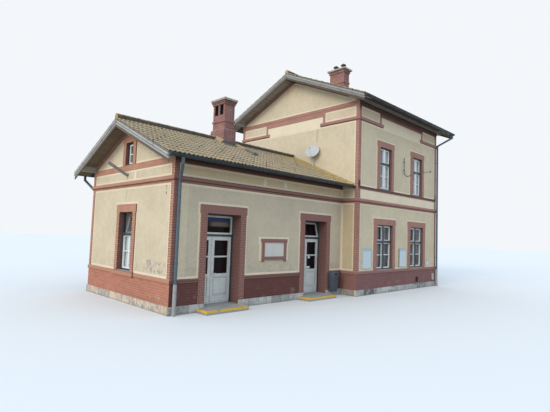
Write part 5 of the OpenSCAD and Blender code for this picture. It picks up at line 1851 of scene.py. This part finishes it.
@dataclass
class DoorJoinery:
    """Beads, a raised panel, a weather bar and dark grooves of painted shade on each door leaf, and two
    papers behind a pane.
    """

    wall: WallPlane = WallPlane(0, -2.61, -1)
    stile: float = 0.11
    panel: Spot = (0.40, 0.98)
    lights: Ends = ((1.09, 1.63), (1.67, 2.19))
    moulding: Spot = (-0.004, 0.007)
    pane_bead: Spot = (-0.03, -0.004)
    raised: tuple[Spot, ...] = ((-0.035, -0.014), (-0.035, -0.011), (-0.055, -0.003))
    weather_bar: tuple[Point, Point] = ((0.20, 0.235, -0.001), (0.20, 0.223, 0.016))
    grooves: tuple[tuple[float, float, Spot], ...] = (
        (0.018, 0.0055, (-0.002, 0.0012)), (-0.018, 0.008, (-0.014, -0.0106)),
    )
    paper_depths: Spot = (-0.0449, -0.0425)
    leaves: tuple[tuple[str, float, float], ...] = (
        ("door_1_wide", -6.114, -5.322), ("door_1_narrow", -6.568, -6.126),
        ("door_2_wide", -1.494, -0.702), ("door_2_narrow", -1.948, -1.506),
    )
    papers: tuple[Ends, ...] = (((-1.25, 1.52), (-1.12, 1.66)), ((-1.34, 1.125), (-1.12, 1.20)))

    def bead(self, made: Solids, ends: Ends, grow: float, width: float, depths: Spot) -> None:
        """Adds a bead inside a grown rectangle, between two distances off the leaf."""
        made.rim(self.wall, oblong(*ends, grow), oblong(*ends, grow - width), *depths)

    def build(self) -> None:
        """Dresses the four leaves."""
        for body, low, high in self.leaves:
            made = Solids()
            left, right = low + self.stile, high - self.stile
            ends = (left, self.panel[0]), (right, self.panel[1])
            self.bead(made, ends, 0.012, 0.020, self.moulding)
            for foot, head in self.lights:
                self.bead(made, ((left, foot), (right, head)), 0.0005, 0.006, self.pane_bead)
            made.stack(self.wall, [(oblong(*ends, grow), off) for grow, off in self.raised])
            low, high = low + 0.02, high - 0.02
            made.stack(self.wall, [(oblong((low, z), (high, top)), off) for z, top, off in self.weather_bar])
            # the dark grooves round the raised panel are painted shade
            groove = Solids()
            for cut in self.grooves:
                self.bead(groove, ends, *cut)
            groove.piece(body + "_grooves", DOOR_SHADE, body)
            made.piece(body + "_joinery", DOOR_PAINT, body)
        paper = Solids()
        for ends in self.papers:
            paper.plate(self.wall, oblong(*ends), *self.paper_depths)
        paper.piece("door_2_paper", LABEL, "door_2_wide")


@dataclass
class LitterBin:
    """Tapered steel bin with a rounded hood and a slot, a near-black box of painted shade."""

    left: float = -0.53
    right: float = -0.06
    front: float = -3.30
    back: float = -3.06
    rim: float = 0.80
    corner: float = 0.045
    tub: tuple[Spot, ...] = ((0.055, 0.19), (0.045, 0.21), (0.012, 0.80))
    hood: tuple[Point, ...] = (
        (0.0, 0.80, 0.0), (-0.002, 0.82, 0.0), (0.004, 0.925, 0.0), (0.022, 0.962, 0.03), (0.05, 0.98, 0.05),
    )
    bracket: tuple[Point, Point] = ((-0.355, -3.062, 0.60), (-0.235, -3.021, 0.70))
    hoops: Spot = (0.34, 0.64)
    flare: float = 0.054
    slot: tuple[Point, Point] = ((-0.43, -3.304, 0.868), (-0.16, -3.28, 0.935))
    lip_outer: Ends = ((-0.445, 0.855), (-0.145, 0.948))
    lip_inner: Ends = ((-0.428, 0.870), (-0.162, 0.933))

    def ring(self, taper: float, z: float, drop: float = 0.0) -> list[Point]:
        """Returns a rounded rectangle at a level.

        Args:
            taper: how far its sides draw in.
            z: the level.
            drop: how far its front leans back.

        Returns:
            The ring of points.
        """
        r = self.corner
        low = (self.left + taper + r, self.front + taper + drop + r)
        high = (self.right - taper - r, self.back - taper * 0.3 - r)
        ring = []
        for x, y, start in ((high[0], high[1], 0), (low[0], high[1], 90), (low[0], low[1], 180),
                            (high[0], low[1], 270)):
            for k in range(5):
                turn = math.radians(start + 22.5 * k)
                ring.append((x + r * math.cos(turn), y + r * math.sin(turn), z))
        return ring

    def build(self) -> None:
        """Builds the bin, its slot and its bracket."""
        made = Solids()
        for rings in (self.tub, self.hood):
            made.loft([self.ring(*ring) for ring in rings])
        made.box(*self.bracket)
        for z in self.hoops:
            taper = (self.rim - z) * self.flare
            made.loft([self.ring(0.012 + taper, z), self.ring(0.010 + taper, z + 0.012)])
        made.piece("litter_bin_body", BIN, replaces=("litter_bin",), smooth=40)
        # the slot is a near-black box of painted shade
        slot = Solids()
        slot.box(*self.slot)
        slot.piece("litter_bin_slot", SHADE_SHEET)
        lip = Solids()
        lip.rim(WallPlane(0, self.front, -1), oblong(*self.lip_outer), oblong(*self.lip_inner), -0.01, 0.008)
        lip.piece("litter_bin_lip", GALVANISED)


@dataclass
class NoticeCases:
    """Frames and sheets of the notice boards beside the platform windows."""

    wall: WallPlane = WallPlane(0, -3.83, -1)
    edge: float = 0.022
    boards: tuple[Ends, ...] = (
        ((0.825, 1.12), (1.475, 1.97)), ((3.9225, 1.12), (4.5725, 1.97)), ((6.723, 1.12), (7.023, 1.36)),
    )

    def build(self) -> None:
        """Builds the frames and the sheets."""
        rims = Solids()
        sheets = Solids()
        for ends in self.boards:
            inner = oblong(*ends, -self.edge)
            rims.rim(self.wall, oblong(*ends), inner, -0.028, 0.012)
            sheets.plate(self.wall, inner, -0.005, 0.004)
        rims.piece("notice_rims", CASE)
        sheets.piece("notice_sheets", NOTICE)


@dataclass
class SmallFittings:
    """Vent, meter box, roof fillets, flashings, pipe clips and lamp glass.

    Each bar on the wing roof has a section of places along the roof and rises over the tiles, two
    distances down the slope from the ridge, and the slopes that carry it.
    """

    apex: float = 6.2425
    mortar: tuple[Bar, ...] = (
        (((0.415, -0.03), (0.325, -0.03), (0.335, 0.012), (0.395, 0.045), (0.415, 0.06)), (0.02, 3.93),
         (-1, 1)),
        (((-4.215, -0.04), (-4.365, -0.04), (-4.335, 0.07), (-4.215, 0.15)), (0.0, 0.53), (-1, 1)),
        (((-3.42, -0.02), (-3.63, -0.02), (-3.63, 0.085), (-3.43, 0.085)), (0.56, 1.20), (-1,)),
    )
    lead: tuple[Bar, ...] = (
        (((-4.26, -0.01), (-3.49, -0.01), (-3.49, 0.012), (-4.26, 0.012)), (0.50, 0.74), (-1, 1)),
        (((-4.27, -0.02), (-3.47, -0.02), (-3.47, 0.13), (-4.27, 0.13)), (0.51, 0.555), (-1, 1)),
        (((-3.555, -0.04), (-3.44, -0.04), (-3.47, 0.012), (-3.555, 0.06)), (0.0, 0.53), (-1, 1)),
        (((-3.40, -0.02), (-3.62, -0.02), (-3.62, 0.075), (-3.41, 0.075)), (1.20, 1.80), (-1,)),
    )
    vent: Ends = ((5.54, 0.30), (5.89, 0.59))
    box: tuple[Point, Point] = ((7.42, -3.89, 0.36), (7.50, -3.815, 0.68))
    pipes: tuple[Point, ...] = ((-7.725, 3.123, 3.0), (7.775, 3.923, 6.6))
    clip: float = 0.0575
    clip_levels: Spot = (0.895, 1.50)
    shoe: float = 0.066
    lamp_foot: Point = (-7.835, 0.10, 4.30)
    lamp_rise: float = 27.8
    lamp_parts: tuple[tuple[Spot, Ends], ...] = (
        ((0.13, 0.72), ((-0.045, -0.045), (0.045, -0.034))),
        ((0.79, 0.815), ((-0.050, -0.030), (0.050, 0.030))),
    )

    def roof_point(self, x: float, down: float, side: float, rise: float) -> Point:
        """Returns a point on a slope of the wing roof, given by its distance down the slope."""
        cos, sin = math.cos(PLAN.angle), math.sin(PLAN.angle)
        return (x, side * (down * cos + rise * sin), self.apex - down * sin + rise * cos)

    def sloped_bars(self, name: str, finish: Finish, bars: tuple[Bar, ...]) -> None:
        """Makes one piece of bars that run down the slopes.

        Args:
            name: name of the piece.
            finish: its finish.
            bars: section, reach down the slope and slopes of each bar.
        """
        made = Solids()
        for section, downs, sides in bars:
            for side in sides:
                made.loft([[self.roof_point(x, down, side, rise) for x, rise in section] for down in downs])
        made.piece(name, finish)

    def wall_bits(self) -> None:
        """Sets the plinth vent, its gap a near-black plate of painted shade, and the small box at the block's
        foot.
        """
        wall = PLAN.wall("front")
        gap = Solids()
        gap.plate(wall, oblong(*self.vent, -0.02), 0.018, 0.023)
        gap.piece("plinth_vent_gap", SHADE_SHEET)
        rim = Solids()
        rim.rim(wall, oblong(*self.vent), oblong(*self.vent, -0.025), 0.016, 0.032)
        # the vent rim takes the brick darkened as painted shade
        rim.piece("plinth_vent_rim", SHADED_BRICK)
        box = Solids()
        box.box(*self.box)
        box.piece("meter_box", CASE)

    def pipe_clips(self) -> None:
        """Rings the downpipes at their joints."""
        made = Solids()
        for x, away, top in self.pipes:
            for y in (-away, away):
                for z in (*self.clip_levels, top * 0.5 + 0.45, top):
                    made.tube([(x, y, z), (x, y, z + 0.03)], self.clip, 16)
                made.tube([(x, y, 0.02), (x, y, 0.07)], self.shoe, 16)
        made.piece("pipe_clips", PIPE, smooth=40)

    def lamp_glass(self) -> None:
        """Adds the lens under the gable lamp and its end cap."""
        made = Solids()
        rise = math.radians(self.lamp_rise)
        axis = Vector((-math.cos(rise), 0, math.sin(rise)))
        up = Vector((math.sin(rise), 0, math.cos(rise)))
        start = Vector(self.lamp_foot)
        for reach, ends in self.lamp_parts:
            made.loft([[tuple(start + axis * along + up * z + Vector((0, y, 0))) for y, z in oblong(*ends)]
                       for along in reach])
        made.piece("lamp_lens", LAMP)

    def build(self) -> None:
        """Builds every small fitting."""
        self.sloped_bars("mortar_fillets", OCHRE_MORTAR, self.mortar)
        self.sloped_bars("chimney_flashing", LEAD, self.lead)
        self.wall_bits()
        self.pipe_clips()
        self.lamp_glass()


@dataclass
class Camera:
    """The photographer's place and view."""

    place: Point = (-14.21, -13.686, 2.445)
    yaw: float = 44.626
    pitch: float = 3.929
    roll: float = 2.009
    lens: float = 27.085

    def build(self) -> None:
        """Adds the camera and makes it the scene's."""
        yaw, pitch, roll = (math.radians(a) for a in (self.yaw, self.pitch, self.roll))
        forward = Vector((math.sin(yaw) * math.cos(pitch), math.cos(yaw) * math.cos(pitch), math.sin(pitch)))
        right = Vector((math.cos(yaw), -math.sin(yaw), 0))
        up = right.cross(forward)
        side = right * math.cos(roll) + up * math.sin(roll)
        head = up * math.cos(roll) - right * math.sin(roll)
        data = bpy.data.cameras.new("camera")
        data.lens = self.lens
        data.clip_end = 500
        made = bpy.data.objects.new("camera", data)
        matrix = Matrix((side, head, -forward)).transposed().to_4x4()
        matrix.translation = self.place
        made.matrix_world = matrix
        bpy.context.scene.collection.objects.link(made)
        bpy.context.scene.camera = made


class Daylight(Enum):
    """Colours of the sky that lights, of the sky that is seen and of the hazy sun."""

    LIGHT = (0.745, 0.875, 1.03)
    SEEN = (0.90, 0.93, 0.96)
    SUN = (1.0, 0.90, 0.76)


@dataclass
class Stage:
    """Pale floor, even sky and one wide soft sun."""

    floor_seen: Colour = (0.74, 0.74, 0.73)
    floor_bounce: Colour = (0.40, 0.365, 0.30)
    sky_light: float = 1.24
    sun_light: float = 1.6
    sun_angle: float = 35.0
    sun_from: Point = (-1.0, -0.10, 0.42)
    reach: float = 140.0

    def seen(self, graph: Graph) -> Value:
        """Returns 1 for rays from the camera, mirrors and glass."""
        path = graph.node("ShaderNodeLightPath")
        return path.most(path.other("Is Glossy Ray")).most(path.other("Is Transmission Ray"))

    def floor(self) -> None:
        """Lays the floor."""
        material = bpy.data.materials.new("studio_floor")
        material.use_nodes = True
        material.node_tree.nodes.clear()
        graph = Graph(material.node_tree)
        pale, dull = (graph.node("ShaderNodeBsdfDiffuse", None, {"Color": (*colour, 1.0)})
                      for colour in (self.floor_seen, self.floor_bounce))
        shader = graph.node("ShaderNodeMixShader", None, {0: self.seen(graph), 1: dull, 2: pale})
        graph.node("ShaderNodeOutputMaterial", None, {"Surface": shader})
        mesh = bpy.data.meshes.new("studio_floor")
        corners = oblong((0.0, 0.0), (0.0, 0.0), self.reach)
        mesh.from_pydata([(x, y, -0.002) for x, y in corners], [], [(0, 1, 2, 3)])
        mesh.materials.append(material)
        made = bpy.data.objects.new("studio_floor", mesh)
        bpy.context.scene.collection.objects.link(made)

    def lights(self) -> None:
        """Adds the sky and the sun."""
        world = bpy.data.worlds.new("studio_sky")
        bpy.context.scene.world = world
        world.use_nodes = True
        world.node_tree.nodes.clear()
        graph = Graph(world.node_tree)
        skies = ((Daylight.LIGHT, self.sky_light), (Daylight.SEEN, 1.0))
        light, seen = (
            graph.node("ShaderNodeBackground", None, {"Color": (*sky.value, 1.0), "Strength": power})
            for sky, power in skies
        )
        both = graph.node("ShaderNodeMixShader", None, {0: self.seen(graph), 1: light, 2: seen})
        graph.node("ShaderNodeOutputWorld", None, {"Surface": both})
        data = bpy.data.lights.new("hazy_sun", "SUN")
        data.energy = self.sun_light
        data.color = Daylight.SUN.value
        data.angle = math.radians(self.sun_angle)
        sun = bpy.data.objects.new("hazy_sun", data)
        sun.rotation_euler = Vector(self.sun_from).to_track_quat("Z", "Y").to_euler()
        bpy.context.scene.collection.objects.link(sun)

    def build(self) -> None:
        """Builds the stage."""
        self.floor()
        self.lights()
        bpy.context.scene.view_settings.view_transform = "Standard"


def build_roofs() -> None:
    """Lays the tiles, the ridge caps and the gutter fittings."""
    rows = Rows()
    field, line = rows.field(), rows.line()
    TiledRoof(
        "wing_tiles", "wing_roof_tiles", WING_TILE, apex=6.2425, low_x=-8.415, high_x=PLAN.step, eaves=3.61,
        columns=29, courses=11, stack_x=-3.885, stack_half=(0.34, 0.5), seed=3,
    ).build(rows, field)
    TiledRoof(
        "block_tiles", "block_roof_tiles", BLOCK_TILE, apex=10.2905, low_x=-0.225, high_x=8.505, eaves=4.48,
        columns=29, courses=14, stack_x=4.0, stack_half=(0.24, 0.55), seed=5,
    ).build(rows, field)
    RidgeCaps().build(rows, line)
    GutterFittings().build(rows, line)


def main() -> None:
    """Builds the looks in order and reports each piece."""
    logging.basicConfig(level=logging.INFO, format="%(name)s: %(message)s")
    Camera().build()
    dress_nodes()
    build_roofs()
    PlasterBorders().build()
    RevealLinings().build()
    WindowJoinery().build()
    DoorJoinery().build()
    NoticeCases().build()
    LitterBin().build()
    SmallFittings().build()
    Stage().build()


if __name__ == "__main__":
    main()
